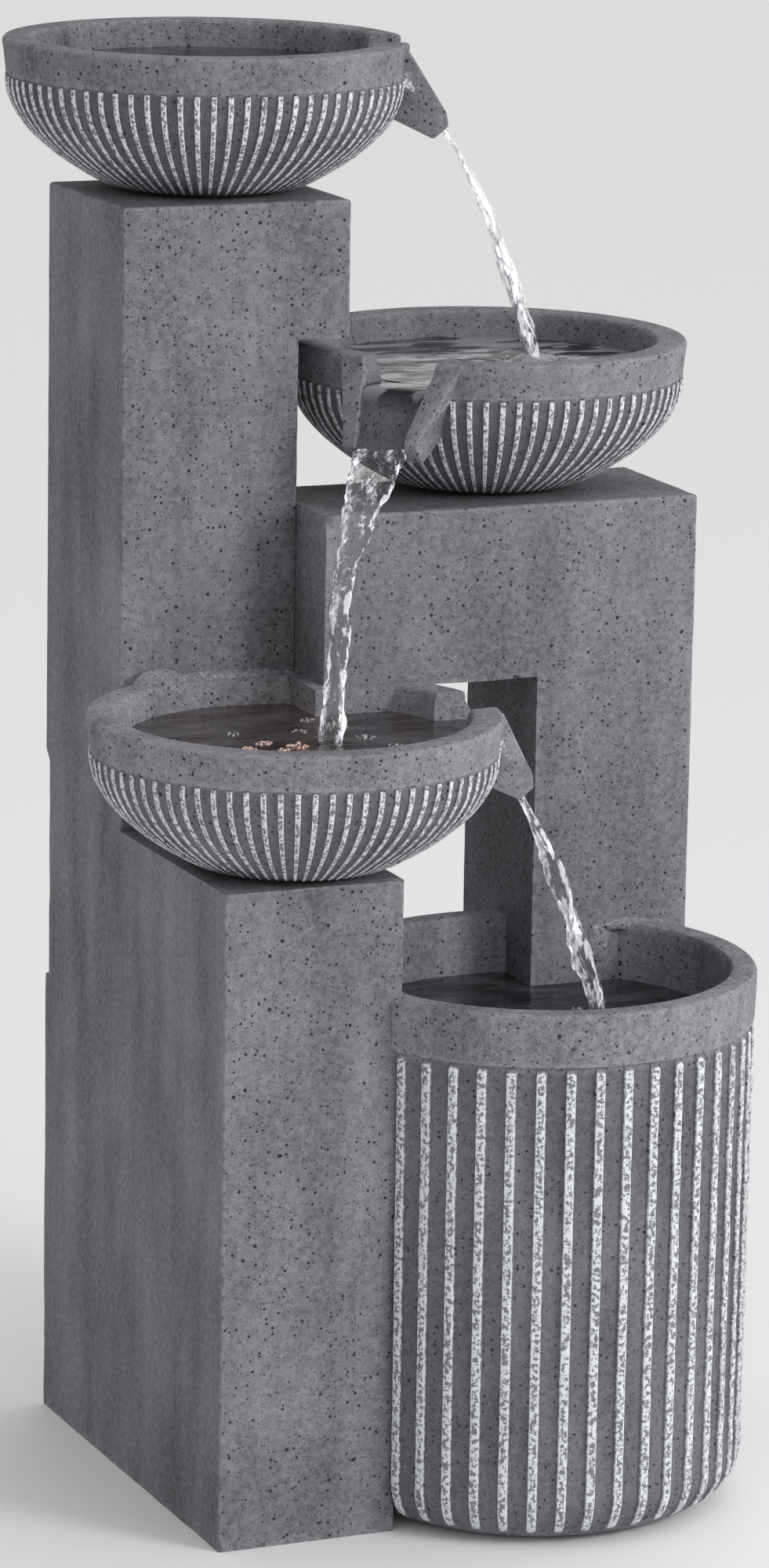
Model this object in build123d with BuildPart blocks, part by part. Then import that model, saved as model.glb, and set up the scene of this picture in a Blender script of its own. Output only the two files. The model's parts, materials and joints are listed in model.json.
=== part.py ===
from build123d import *
from math import pi, sqrt
import os

# Four-tier cascading bowl fountain, cast in hollow resin blocks.
# Millimetres. +Z is up, +X is the right of the front view, +Y runs to the back.
# The origin is the middle of the footprint's bounding box, on the ground.

os.makedirs("parts", exist_ok=True)

# ---------------------------------------------------------------- driving dimensions
WALL = 8.0                # cast wall of the blocks
ROOF = 10.0               # thicker cast top that carries a bowl
EDGE = 2.5                # softened casting edge

TOWER_LEFT = -190.0       # one flat left face from front to back
TOWER_WIDTH = 134.0
HEAD_WIDTH = 173.0        # the column's wider head, above the notch
COLUMN_FRONT = 31.0
COLUMN_BACK = 184.0
BACK_WALL = 18.0          # rear wall, deep enough for the panel recess
BLOCK_FRONT = -174.0
COLUMN_TOP = 922.0
NOTCH_Z = 823.0
BLOCK_TOP = 475.0
TOWER_RIGHT = TOWER_LEFT + TOWER_WIDTH
HEAD_RIGHT = TOWER_LEFT + HEAD_WIDTH

RECESS_Z = (334.0, 506.0)
RECESS_DEPTH = 9.0
RECESS_Y = COLUMN_BACK - RECESS_DEPTH
DOOR_WIDTH = 92.0
DOOR_HEIGHT = 128.0
DOOR_CORNER = 8.0
DOOR_X = (TOWER_LEFT + TOWER_RIGHT) / 2
DOOR_Z = (RECESS_Z[0] + RECESS_Z[1] - RECESS_DEPTH) / 2

ARCH_RIGHT = 236.0
ARCH_FRONT = -23.0
ARCH_BACK = 100.0
ARCH_TOP = 705.0
ARCH_UNDER = 578.0
LEG_LEFT = 111.0

BASIN_X, BASIN_Y = 77.0, -110.0
BASIN_R = 156.0
BASIN_RIM = 19.0
BASIN_HEIGHT = 391.0
BASIN_BAND = 39.0
BASIN_FLOOR = 15.0
BASIN_FOOT_R = 38.0       # rounded lower edge
BASIN_SIDE = 6.0          # wall left where the basin meets the tower

BOWL_R = 146.0
BOWL_RIM = 22.0
BOWL_HEIGHT = 105.0
BED = 3.0                 # adhesive bed under each bowl
BOWL_BAND = 26.0
FOOT_R = 52.0
BOWL_BACK_WALL = 11.0     # flat back wall of the lower bowl

TOP_BOWL = (-94.0, 120.0, COLUMN_TOP + BED)
MIDDLE_BOWL = (110.0, 76.0, ARCH_TOP + BED)
LOWER_BOWL = (-110.0, -100.0, BLOCK_TOP + BED)
TOP_SPOUT = -17.0         # degrees, where each spout points
MIDDLE_SPOUT = 220.0
LOWER_SPOUT = 0.0

PUMP_X, PUMP_Y = 44.0, -82.0   # motor's front face centre
PUMP_Z = BASIN_FLOOR + 40.0    # rotor axis height
PUMP_SIZE = 56.0
MOTOR_LENGTH = 48.0
VOLUTE_LENGTH = 22.0

INLET_HOLE_R = 12.2
CABLE_Z = 40.0
CABLE_HOLE_R = 8.0
CABLE_BORE_R = 3.5
GLAND_HOLE_R = 8.2

HOSE_R = 9.0
HOSE_BORE_R = 6.5
HOSE_CROSS_Z = 200.0      # height where the hose leaves the basin
HOSE_Y = PUMP_Y - VOLUTE_LENGTH / 2
HOSE_HOLE_R = 12.0


def save(piece, name):
    """Label one finished sub-part and write its STEP file."""
    piece.label = name
    export_step(piece, f"parts/{name}.step")


def box_between(low, high, mode=Mode.ADD):
    """A box from its lowest corner to its highest corner."""
    size = [b - a for a, b in zip(low, high)]
    with Locations(Location(low)):
        return Box(*size, align=(Align.MIN, Align.MIN, Align.MIN), mode=mode)


# ---------------------------------------------------------------- column tower
# The tall column and the front block share one left face, so they are one casting.
with BuildPart() as column_tower:
    box_between((TOWER_LEFT, BLOCK_FRONT, 0), (TOWER_RIGHT, COLUMN_BACK, BLOCK_TOP))
    box_between((TOWER_LEFT, COLUMN_FRONT, 0), (TOWER_RIGHT, COLUMN_BACK, COLUMN_TOP))
    box_between((TOWER_LEFT, COLUMN_FRONT, NOTCH_Z), (HEAD_RIGHT, COLUMN_BACK, COLUMN_TOP))
    fillet(column_tower.edges().filter_by(Axis.Z), EDGE)
    fillet(column_tower.faces().sort_by(Axis.Z)[-1].edges(), EDGE)
    inner_left = TOWER_LEFT + WALL
    inner_back = COLUMN_BACK - BACK_WALL
    box_between(
        (inner_left, BLOCK_FRONT + WALL, 0),
        (TOWER_RIGHT - WALL, inner_back, BLOCK_TOP - ROOF), mode=Mode.SUBTRACT)
    box_between(
        (inner_left, COLUMN_FRONT + WALL, 0),
        (TOWER_RIGHT - WALL, inner_back, COLUMN_TOP - ROOF), mode=Mode.SUBTRACT)
    box_between(
        (inner_left, COLUMN_FRONT + WALL, NOTCH_Z + WALL),
        (HEAD_RIGHT - WALL, inner_back, COLUMN_TOP - ROOF), mode=Mode.SUBTRACT)
    # rear recess: a shallow step across the back, bevelled at its top
    with BuildSketch(Plane.YZ.offset(TOWER_LEFT)):
        with BuildLine():
            Polyline(
                (COLUMN_BACK, RECESS_Z[0]),
                (RECESS_Y, RECESS_Z[0]),
                (RECESS_Y, RECESS_Z[1] - RECESS_DEPTH),
                (COLUMN_BACK, RECESS_Z[1]),
                close=True)
        make_face()
    extrude(amount=TOWER_WIDTH, mode=Mode.SUBTRACT)
    # opening behind the access panel
    with BuildSketch(Plane.XZ.offset(-RECESS_Y)):
        with Locations((DOOR_X, DOOR_Z)):
            RectangleRounded(DOOR_WIDTH, DOOR_HEIGHT, DOOR_CORNER)
    extrude(amount=BACK_WALL, mode=Mode.SUBTRACT)
    # bores for the water inlet, the light's gland, the hose and the cable
    with Locations(Location((TOP_BOWL[0], TOP_BOWL[1], COLUMN_TOP))):
        Hole(INLET_HOLE_R, depth=ROOF)
    with Locations(Location((LOWER_BOWL[0], LOWER_BOWL[1], BLOCK_TOP))):
        Hole(GLAND_HOLE_R, depth=ROOF)
    with Locations(Location((TOWER_RIGHT, HOSE_Y, HOSE_CROSS_Z), (0, 90, 0))):
        Hole(HOSE_HOLE_R, depth=WALL)
    with Locations(Location((DOOR_X, COLUMN_BACK, CABLE_Z), (-90, 0, 0))):
        Hole(CABLE_HOLE_R, depth=BACK_WALL)
save(column_tower.part, "column_tower")

# ---------------------------------------------------------------- arch wall
# An inverted L: its roof carries the middle bowl, its leg stands in the basin.
with BuildPart() as arch_wall:
    with BuildSketch(Plane.XZ.offset(-ARCH_BACK)):
        with BuildLine():
            Polyline(
                (TOWER_RIGHT, ARCH_UNDER), (TOWER_RIGHT, ARCH_TOP), (ARCH_RIGHT, ARCH_TOP),
                (ARCH_RIGHT, 0), (LEG_LEFT, 0), (LEG_LEFT, ARCH_UNDER), close=True)
        make_face()
    extrude(amount=ARCH_BACK - ARCH_FRONT)
    fillet(arch_wall.edges().filter_by(Axis.Y).sort_by(Axis.Z)[-1:], EDGE)
    fillet(arch_wall.edges().filter_by(Axis.Z).sort_by(Axis.X)[-2:], EDGE)
    box_between(
        (TOWER_RIGHT + WALL, ARCH_FRONT + WALL, ARCH_UNDER + WALL),
        (ARCH_RIGHT - WALL, ARCH_BACK - WALL, ARCH_TOP - ROOF), mode=Mode.SUBTRACT)
    box_between(
        (LEG_LEFT + WALL, ARCH_FRONT + WALL, 0),
        (ARCH_RIGHT - WALL, ARCH_BACK - WALL, ARCH_TOP - ROOF), mode=Mode.SUBTRACT)
save(arch_wall.part, "arch_wall")

# ---------------------------------------------------------------- catch basin
# A round tub down to the ground. The tower and the leg cut into its left and back.
BASIN_INNER_R = BASIN_R - BASIN_RIM
BASIN_DRAFT = 12.0        # how much narrower the inside is at its floor
BASIN_FLOOR_FILLET = 18.0
BAND_STEP = 2.0           # the plain band stands out this far
SIDE_R = BASIN_R - 6.0    # the ribbed side at its foot
FOOT_CORNER = BASIN_FOOT_R * (1 - sqrt(0.5))
DRAIN_X = 40.0
DRAIN_Z = 70.0
DRAIN_R = 9.0
DRAIN_BOSS = 5.0
DRAIN_BOSS_R = 16.0
DRAIN_BOSS_ROOT = 20.0    # how far the boss starts inside the wall
DRAIN_Y = BASIN_Y + sqrt(BASIN_R ** 2 - (DRAIN_X - BASIN_X) ** 2)

with BuildPart() as basin_hollow:
    with Locations(Location((BASIN_X, BASIN_Y, BASIN_FLOOR))):
        Cone(BASIN_INNER_R - BASIN_DRAFT, BASIN_INNER_R, BASIN_HEIGHT - BASIN_FLOOR + 0.01,
             align=(Align.CENTER, Align.CENTER, Align.MIN))
    fillet(basin_hollow.edges().sort_by(Axis.Z)[0], BASIN_FLOOR_FILLET)
    box_between(
        (BASIN_X - BASIN_R, BASIN_Y - BASIN_R, 0),
        (TOWER_RIGHT + BASIN_SIDE, BASIN_Y + BASIN_R, BASIN_HEIGHT + 1), mode=Mode.SUBTRACT)

with BuildPart() as catch_basin:
    with BuildSketch(Plane.XZ.offset(-BASIN_Y)):
        with BuildLine():
            Line((BASIN_X, 0), (BASIN_X + SIDE_R - BASIN_FOOT_R, 0))
            ThreePointArc(
                (BASIN_X + SIDE_R - BASIN_FOOT_R, 0),
                (BASIN_X + SIDE_R - FOOT_CORNER, FOOT_CORNER),
                (BASIN_X + SIDE_R, BASIN_FOOT_R))
            Polyline(
                (BASIN_X + SIDE_R, BASIN_FOOT_R),
                (BASIN_X + BASIN_R - BAND_STEP, BASIN_HEIGHT - BASIN_BAND),
                (BASIN_X + BASIN_R, BASIN_HEIGHT - BASIN_BAND),
                (BASIN_X + BASIN_R, BASIN_HEIGHT),
                (BASIN_X, BASIN_HEIGHT),
                (BASIN_X, 0))
        make_face()
    revolve(axis=Axis((BASIN_X, BASIN_Y, 0), (0, 0, 1)))
    fillet(catch_basin.edges().sort_by(Axis.Z)[-1], EDGE)
    with Locations(Location((DRAIN_X, DRAIN_Y - DRAIN_BOSS_ROOT, DRAIN_Z), (-90, 0, 0))):
        Cylinder(DRAIN_BOSS_R, DRAIN_BOSS_ROOT + DRAIN_BOSS, align=(Align.CENTER, Align.CENTER, Align.MIN))
    add(basin_hollow.part, mode=Mode.SUBTRACT)
    box_between(
        (TOWER_LEFT, BLOCK_FRONT, -1), (TOWER_RIGHT, COLUMN_BACK, BLOCK_TOP), mode=Mode.SUBTRACT)
    box_between(
        (LEG_LEFT, ARCH_FRONT, -1), (ARCH_RIGHT, ARCH_BACK, ARCH_UNDER), mode=Mode.SUBTRACT)
    with Locations(Location((TOWER_RIGHT + BASIN_SIDE, HOSE_Y, HOSE_CROSS_Z), (0, 90, 0))):
        Hole(HOSE_HOLE_R, depth=2 * BASIN_SIDE)
    with Locations(Location((DRAIN_X, DRAIN_Y + DRAIN_BOSS, DRAIN_Z), (-90, 0, 0))):
        Hole(DRAIN_R, depth=DRAIN_BOSS_ROOT + BASIN_RIM + BASIN_DRAFT)
save(catch_basin.part, "catch_basin")


# ---------------------------------------------------------------- bowls
# One mould makes all three bowls. They are drawn standing on the foot at z = 0, spout along +X.
BOWL_FLOOR = 18.0
BELLY_R = 140.0           # the ribbed side, just under the plain band
BAND_R = 142.5            # the band's lower edge
BAND_Z = BOWL_HEIGHT - BOWL_BAND
HOLLOW_FLOOR_R = 56.0
HOLLOW_R = 119.0          # inside, at the foot of the rim
HOLLOW_Z = BOWL_HEIGHT - 22.0
SPOUT_ROOT = 112.0        # where the spout starts, inside the rim
SPOUT_TOP = 137.5         # where its cheeks leave the rim
SPOUT_REACH = 170.0       # the tip
SPOUT_KNEE = BOWL_HEIGHT - 50.0
SPOUT_LIP = BOWL_HEIGHT - 69.0
SPOUT_HALF = 49.0         # half width at the rim
SPOUT_TIP_HALF = 30.0     # half width at the tip
CHANNEL_ROOT = 95.0
CHANNEL_Z = BOWL_HEIGHT - 23.0
CHANNEL_HALF = 29.5       # half width of the water's way at the rim
CHANNEL_TIP_HALF = 20.0
ABOVE = 5.0               # how far a cutting shape passes the rim

with BuildPart() as bowl_body:
    with BuildSketch(Plane.XZ):
        with BuildLine():
            Line((0, 0), (FOOT_R, 0))
            ThreePointArc((FOOT_R, 0), (78, 8), (98, 19))
            ThreePointArc((98, 19), (128, 45), (BELLY_R, BAND_Z))
            Polyline(
                (BELLY_R, BAND_Z),
                (BAND_R, BAND_Z),
                (BOWL_R, BOWL_HEIGHT),
                (0, BOWL_HEIGHT),
                (0, 0))
        make_face()
    revolve(axis=Axis.Z)

with BuildPart() as bowl_hollow:
    with BuildSketch(Plane.XZ):
        with BuildLine():
            Line((0, BOWL_FLOOR), (HOLLOW_FLOOR_R, BOWL_FLOOR))
            ThreePointArc((HOLLOW_FLOOR_R, BOWL_FLOOR), (98, 43), (HOLLOW_R, HOLLOW_Z))
            Polyline(
                (HOLLOW_R, HOLLOW_Z),
                (BOWL_R - BOWL_RIM, BOWL_HEIGHT + 1),
                (0, BOWL_HEIGHT + 1),
                (0, BOWL_FLOOR))
        make_face()
    revolve(axis=Axis.Z)

with BuildPart() as spout_block:
    with BuildSketch(Plane.XZ):
        with BuildLine():
            Polyline(
                (SPOUT_ROOT, BOWL_HEIGHT), (SPOUT_TOP, BOWL_HEIGHT),
                (SPOUT_REACH, SPOUT_KNEE), (SPOUT_REACH + 1, SPOUT_LIP + 8),
                (SPOUT_REACH - 9, SPOUT_LIP), (129, SPOUT_KNEE - 4),
                (SPOUT_ROOT, SPOUT_KNEE), close=True)
        make_face()
    extrude(amount=SPOUT_HALF, both=True)
    with BuildSketch(Plane.YZ.offset(SPOUT_ROOT)):
        with BuildLine():
            Polyline(
                (-SPOUT_HALF, BOWL_HEIGHT), (SPOUT_HALF, BOWL_HEIGHT),
                (SPOUT_TIP_HALF, SPOUT_KNEE), (SPOUT_TIP_HALF, 0),
                (-SPOUT_TIP_HALF, 0), (-SPOUT_TIP_HALF, SPOUT_KNEE), close=True)
        make_face()
    extrude(amount=SPOUT_REACH, mode=Mode.INTERSECT)

with BuildPart() as spout_channel:
    with BuildSketch(Plane.XZ):
        with BuildLine():
            Polyline(
                (CHANNEL_ROOT, BOWL_HEIGHT + ABOVE), (CHANNEL_ROOT, CHANNEL_Z),
                (148, CHANNEL_Z), (166, SPOUT_KNEE - 10), (SPOUT_REACH + 2, SPOUT_LIP - 21),
                (BOWL_R + SPOUT_KNEE, SPOUT_LIP - 21), (BOWL_R + SPOUT_KNEE, BOWL_HEIGHT + ABOVE),
                close=True)
        make_face()
    extrude(amount=SPOUT_HALF, both=True)
    with BuildSketch(Plane.YZ.offset(CHANNEL_ROOT - ABOVE)):
        with BuildLine():
            Polyline(
                (-CHANNEL_HALF, BOWL_HEIGHT + ABOVE), (CHANNEL_HALF, BOWL_HEIGHT + ABOVE),
                (CHANNEL_TIP_HALF, SPOUT_KNEE), (CHANNEL_TIP_HALF, 0),
                (-CHANNEL_TIP_HALF, 0), (-CHANNEL_TIP_HALF, SPOUT_KNEE), close=True)
        make_face()
    extrude(amount=SPOUT_REACH, mode=Mode.INTERSECT)

with BuildPart() as top_bowl:
    with Locations(Location(TOP_BOWL, (0, 0, TOP_SPOUT))):
        add(bowl_body.part)
        add(spout_block.part)
        add(bowl_hollow.part, mode=Mode.SUBTRACT)
        add(spout_channel.part, mode=Mode.SUBTRACT)
    with Locations(Location((TOP_BOWL[0], TOP_BOWL[1], TOP_BOWL[2] + BOWL_FLOOR))):
        Hole(INLET_HOLE_R, depth=BOWL_FLOOR)
save(top_bowl.part, "top_bowl")

with BuildPart() as middle_bowl:
    with Locations(Location(MIDDLE_BOWL, (0, 0, MIDDLE_SPOUT))):
        add(bowl_body.part)
        add(spout_block.part)
        add(bowl_hollow.part, mode=Mode.SUBTRACT)
        add(spout_channel.part, mode=Mode.SUBTRACT)
save(middle_bowl.part, "middle_bowl")

# The lower bowl is cut to fit against the column's front and round the arch's corner.
with BuildPart() as lower_hollow:
    with Locations(Location(LOWER_BOWL)):
        add(bowl_hollow.part)
    box_between(
        (LOWER_BOWL[0] - BOWL_R, COLUMN_FRONT - BOWL_BACK_WALL, BLOCK_TOP),
        (HEAD_RIGHT, COLUMN_BACK, ARCH_TOP), mode=Mode.SUBTRACT)
    box_between(
        (TOWER_RIGHT - BOWL_BACK_WALL, ARCH_FRONT - BOWL_BACK_WALL, BLOCK_TOP),
        (ARCH_RIGHT, ARCH_BACK, ARCH_TOP), mode=Mode.SUBTRACT)

with BuildPart() as lower_bowl:
    with Locations(Location(LOWER_BOWL, (0, 0, LOWER_SPOUT))):
        add(bowl_body.part)
        add(spout_block.part)
        add(spout_channel.part, mode=Mode.SUBTRACT)
    add(lower_hollow.part, mode=Mode.SUBTRACT)
    box_between(
        (TOWER_LEFT, COLUMN_FRONT, BLOCK_TOP), (TOWER_RIGHT, COLUMN_BACK, NOTCH_Z),
        mode=Mode.SUBTRACT)
    box_between(
        (TOWER_RIGHT, ARCH_FRONT, BLOCK_TOP), (ARCH_RIGHT, ARCH_BACK, ARCH_TOP),
        mode=Mode.SUBTRACT)
    with Locations(Location((LOWER_BOWL[0], LOWER_BOWL[1], LOWER_BOWL[2] + BOWL_FLOOR))):
        Hole(GLAND_HOLE_R, depth=BOWL_FLOOR)
save(lower_bowl.part, "lower_bowl")

# Adhesive beds between each bowl's foot and its block.
BED_HOLE_R = INLET_HOLE_R + 4
with BuildPart() as adhesive_beds:
    for x, y, z in (TOP_BOWL, MIDDLE_BOWL, LOWER_BOWL):
        with Locations(Location((x, y, z - BED))):
            Cylinder(FOOT_R - BED, BED, align=(Align.CENTER, Align.CENTER, Align.MIN))
    with Locations(Location(TOP_BOWL), Location(LOWER_BOWL)):
        Hole(BED_HOLE_R, depth=BED)
save(adhesive_beds.part, "adhesive_beds")

# ---------------------------------------------------------------- rear access panel
GASKET = 1.5              # thickness of the seal
PLATE = 4.0               # thickness of the cover's plate
PLATE_LAP = 7.0           # how far the plate laps past the opening
LIP_GAP = 1.5             # play between the lip and the opening
LIP_WALL = 3.0
LIP_DEPTH = 9.0
PULL_WIDTH, PULL_HEIGHT, PULL_DEPTH = 44.0, 9.0, 10.0
PULL_Z = DOOR_Z + 48.0
PLATE_Y = RECESS_Y + GASKET
with BuildPart() as access_panel:
    with BuildSketch(Plane.XZ.offset(-PLATE_Y)):
        with Locations((DOOR_X, DOOR_Z)):
            RectangleRounded(DOOR_WIDTH + 2 * PLATE_LAP, DOOR_HEIGHT + 2 * PLATE_LAP, 10)
    extrude(amount=-PLATE)
    with BuildSketch(Plane.XZ.offset(-PLATE_Y)):
        with Locations((DOOR_X, DOOR_Z)):
            RectangleRounded(
                DOOR_WIDTH - 2 * LIP_GAP, DOOR_HEIGHT - 2 * LIP_GAP, DOOR_CORNER - LIP_GAP)
            RectangleRounded(
                DOOR_WIDTH - 2 * (LIP_GAP + LIP_WALL), DOOR_HEIGHT - 2 * (LIP_GAP + LIP_WALL),
                DOOR_CORNER - LIP_GAP - LIP_WALL, mode=Mode.SUBTRACT)
    extrude(amount=LIP_DEPTH)
    with BuildSketch(Plane.XZ.offset(-PLATE_Y - PLATE)):
        with Locations((DOOR_X, PULL_Z)):
            SlotOverall(PULL_WIDTH, PULL_HEIGHT)
    extrude(amount=-PULL_DEPTH)
    fillet(access_panel.faces().sort_by(Axis.Y)[-1].edges(), PULL_HEIGHT / 4.5)
save(access_panel.part, "access_panel")

with BuildPart() as panel_gasket:
    with BuildSketch(Plane.XZ.offset(-RECESS_Y)):
        with Locations((DOOR_X, DOOR_Z)):
            RectangleRounded(DOOR_WIDTH + 11, DOOR_HEIGHT + 11, DOOR_CORNER + 1)
            RectangleRounded(DOOR_WIDTH + 1, DOOR_HEIGHT + 1, DOOR_CORNER, mode=Mode.SUBTRACT)
    extrude(amount=-GASKET)
save(panel_gasket.part, "panel_gasket")

# ---------------------------------------------------------------- pump
# A small submersible pump lies on the basin floor, its axis along Y, its inlet to the front.
HALF = PUMP_SIZE / 2
CAP_Y = PUMP_Y - VOLUTE_LENGTH
WELL_R = 11.5
WELL_DEPTH = 36.0
CHAMBER_R = 20.0
CHAMBER_DEPTH = 12.0
SHAFT_R = 1.5
PUMP_TOP = PUMP_Z + HALF
BARB_R = 6.4
SCREW_OFFSET = 23.0
SCREW_R = 1.4
SCREW_GRIP = 8.0          # how far a screw bites into the motor housing
SHELL_CORNER = 6.0
PUMP_INLET_R = 8.0
BUSH_R = 2.6
BUSH_BOSS_R = 4.2
SPIDER = 5.0              # depth of the spider's hub
SPOKE = 1.2               # half thickness of its spokes
NOZZLE_BORE_R = 4.0
NOZZLE_ROOT_R = 9.5
NOZZLE_NECK_R = 5.8
NOZZLE_HEIGHT = 28.0
NOZZLE_TOP = PUMP_TOP + NOZZLE_HEIGHT
SPOKE_REACH = PUMP_INLET_R + 1
SPIDER_Y = PUMP_Y - CHAMBER_DEPTH - SPIDER
SCREW_POINTS = [
    (PUMP_X + i * SCREW_OFFSET, PUMP_Z + k * SCREW_OFFSET) for i in (-1, 1) for k in (-1, 1)]


def on_axis(y):
    """A place on the rotor's axis, local +Z towards the back."""
    return Locations(Location((PUMP_X, y, PUMP_Z), (-90, 0, 0)))


def cylinder_y(radius, y0, y1, mode=Mode.ADD):
    """A cylinder on the rotor's axis from y0 to y1."""
    with on_axis(y0):
        Cylinder(radius, y1 - y0, align=(Align.CENTER, Align.CENTER, Align.MIN), mode=mode)


with BuildPart() as pump_housing:
    box_between(
        (PUMP_X - HALF, PUMP_Y, PUMP_Z - HALF),
        (PUMP_X + HALF, PUMP_Y + MOTOR_LENGTH, PUMP_Z + HALF))
    fillet(pump_housing.edges().filter_by(Axis.Y), SHELL_CORNER)
    fillet(pump_housing.faces().sort_by(Axis.Y)[-1].edges(), 4)
    cylinder_y(WELL_R, PUMP_Y, PUMP_Y + WELL_DEPTH, Mode.SUBTRACT)
    with BuildSketch(Plane.XZ.offset(-PUMP_Y)):
        with Locations(*SCREW_POINTS):
            Circle(SCREW_R)
    extrude(amount=-SCREW_GRIP - 2, mode=Mode.SUBTRACT)
save(pump_housing.part, "pump_housing")

with BuildPart() as pump_volute_cover:
    box_between(
        (PUMP_X - HALF, CAP_Y, PUMP_Z - HALF), (PUMP_X + HALF, PUMP_Y, PUMP_Z + HALF))
    fillet(pump_volute_cover.edges().filter_by(Axis.Y), SHELL_CORNER)
    cylinder_y(CHAMBER_R, PUMP_Y - CHAMBER_DEPTH, PUMP_Y, Mode.SUBTRACT)
    cylinder_y(PUMP_INLET_R, CAP_Y, PUMP_Y - CHAMBER_DEPTH, Mode.SUBTRACT)
    # spider that holds the shaft's front bush in the inlet
    cylinder_y(BUSH_BOSS_R, SPIDER_Y, SPIDER_Y + SPIDER)
    box_between(
        (PUMP_X - SPOKE_REACH, SPIDER_Y, PUMP_Z - SPOKE),
        (PUMP_X + SPOKE_REACH, SPIDER_Y + SPIDER - 1, PUMP_Z + SPOKE))
    box_between(
        (PUMP_X - SPOKE, SPIDER_Y, PUMP_Z - SPOKE_REACH),
        (PUMP_X + SPOKE, SPIDER_Y + SPIDER - 1, PUMP_Z + SPOKE_REACH))
    cylinder_y(BUSH_R, SPIDER_Y + 1, SPIDER_Y + SPIDER, Mode.SUBTRACT)
    # outlet on top, with a barb for the hose
    with BuildSketch(Plane.XZ.offset(-HOSE_Y)):
        with BuildLine():
            Polyline(
                (PUMP_X, PUMP_TOP - 3), (PUMP_X + NOZZLE_ROOT_R, PUMP_TOP - 3),
                (PUMP_X + NOZZLE_ROOT_R, PUMP_TOP + 8), (PUMP_X + NOZZLE_NECK_R, PUMP_TOP + 8),
                (PUMP_X + NOZZLE_NECK_R, PUMP_TOP + 14), (PUMP_X + BARB_R, PUMP_TOP + 14),
                (PUMP_X + NOZZLE_NECK_R, PUMP_TOP + 20), (PUMP_X + BARB_R, PUMP_TOP + 20),
                (PUMP_X + NOZZLE_NECK_R - 0.4, NOZZLE_TOP), (PUMP_X, NOZZLE_TOP), close=True)
        make_face()
    revolve(axis=Axis((PUMP_X, HOSE_Y, 0), (0, 0, 1)))
    with Locations(Location((PUMP_X, HOSE_Y, NOZZLE_TOP))):
        Hole(NOZZLE_BORE_R, depth=NOZZLE_HEIGHT + 6)
    with BuildSketch(Plane.XZ.offset(-CAP_Y)):
        with Locations(*SCREW_POINTS):
            Circle(SCREW_R + 0.3)
    extrude(amount=-VOLUTE_LENGTH, mode=Mode.SUBTRACT)
save(pump_volute_cover.part, "pump_volute_cover")

# The strainer snaps over the volute cover and pulls off forwards.
STRAINER_HALF = HALF + 2.4
STRAINER_FRONT = CAP_Y - 16
STRAINER_WALL = 2.0
STRAINER_LAP = 4.0        # how far it laps over the volute cover
SLOT_PITCH = 7.0
SLOT_ROWS = 6
SLOT_WIDTH = 3.0
SLOT_LENGTH = 13.0
SIDE_SLOT_LENGTH = 9.0
SLOT_X = 19.0             # middle of each column of slots
STEM_R = 3.0
NOTCH_HALF = 11.0         # notch round the outlet's boss
with BuildPart() as pump_strainer:
    box_between(
        (PUMP_X - STRAINER_HALF, STRAINER_FRONT, PUMP_Z - STRAINER_HALF),
        (PUMP_X + STRAINER_HALF, CAP_Y + STRAINER_LAP, PUMP_Z + STRAINER_HALF))
    fillet(pump_strainer.edges().filter_by(Axis.Y), SHELL_CORNER + STRAINER_WALL)
    with BuildSketch(Plane.XZ.offset(-(STRAINER_FRONT + STRAINER_WALL))):
        with Locations((PUMP_X, PUMP_Z)):
            RectangleRounded(PUMP_SIZE + 0.6, PUMP_SIZE + 0.6, SHELL_CORNER)
    extrude(amount=STRAINER_FRONT - PUMP_Y, mode=Mode.SUBTRACT)
    with BuildSketch(Plane.XZ.offset(-STRAINER_FRONT)):
        for side in (-1, 1):
            with Locations((PUMP_X + side * SLOT_X, PUMP_Z)):
                with GridLocations(0, SLOT_PITCH, 1, SLOT_ROWS):
                    SlotOverall(SLOT_LENGTH, SLOT_WIDTH)
    extrude(amount=-STRAINER_WALL, mode=Mode.SUBTRACT)
    with BuildSketch(Plane.YZ.offset(PUMP_X - STRAINER_HALF)):
        with Locations((STRAINER_FRONT + SIDE_SLOT_LENGTH, PUMP_Z)):
            with GridLocations(0, SLOT_PITCH, 1, SLOT_ROWS):
                SlotOverall(SIDE_SLOT_LENGTH, SLOT_WIDTH)
    extrude(amount=2 * STRAINER_HALF, mode=Mode.SUBTRACT)
    cylinder_y(STEM_R + 0.1, STRAINER_FRONT, STRAINER_FRONT + STRAINER_WALL, Mode.SUBTRACT)
    box_between(
        (PUMP_X - NOTCH_HALF, CAP_Y, PUMP_Z), (PUMP_X + NOTCH_HALF, PUMP_Y, PUMP_TOP + 5),
        mode=Mode.SUBTRACT)
save(pump_strainer.part, "pump_strainer")

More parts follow.
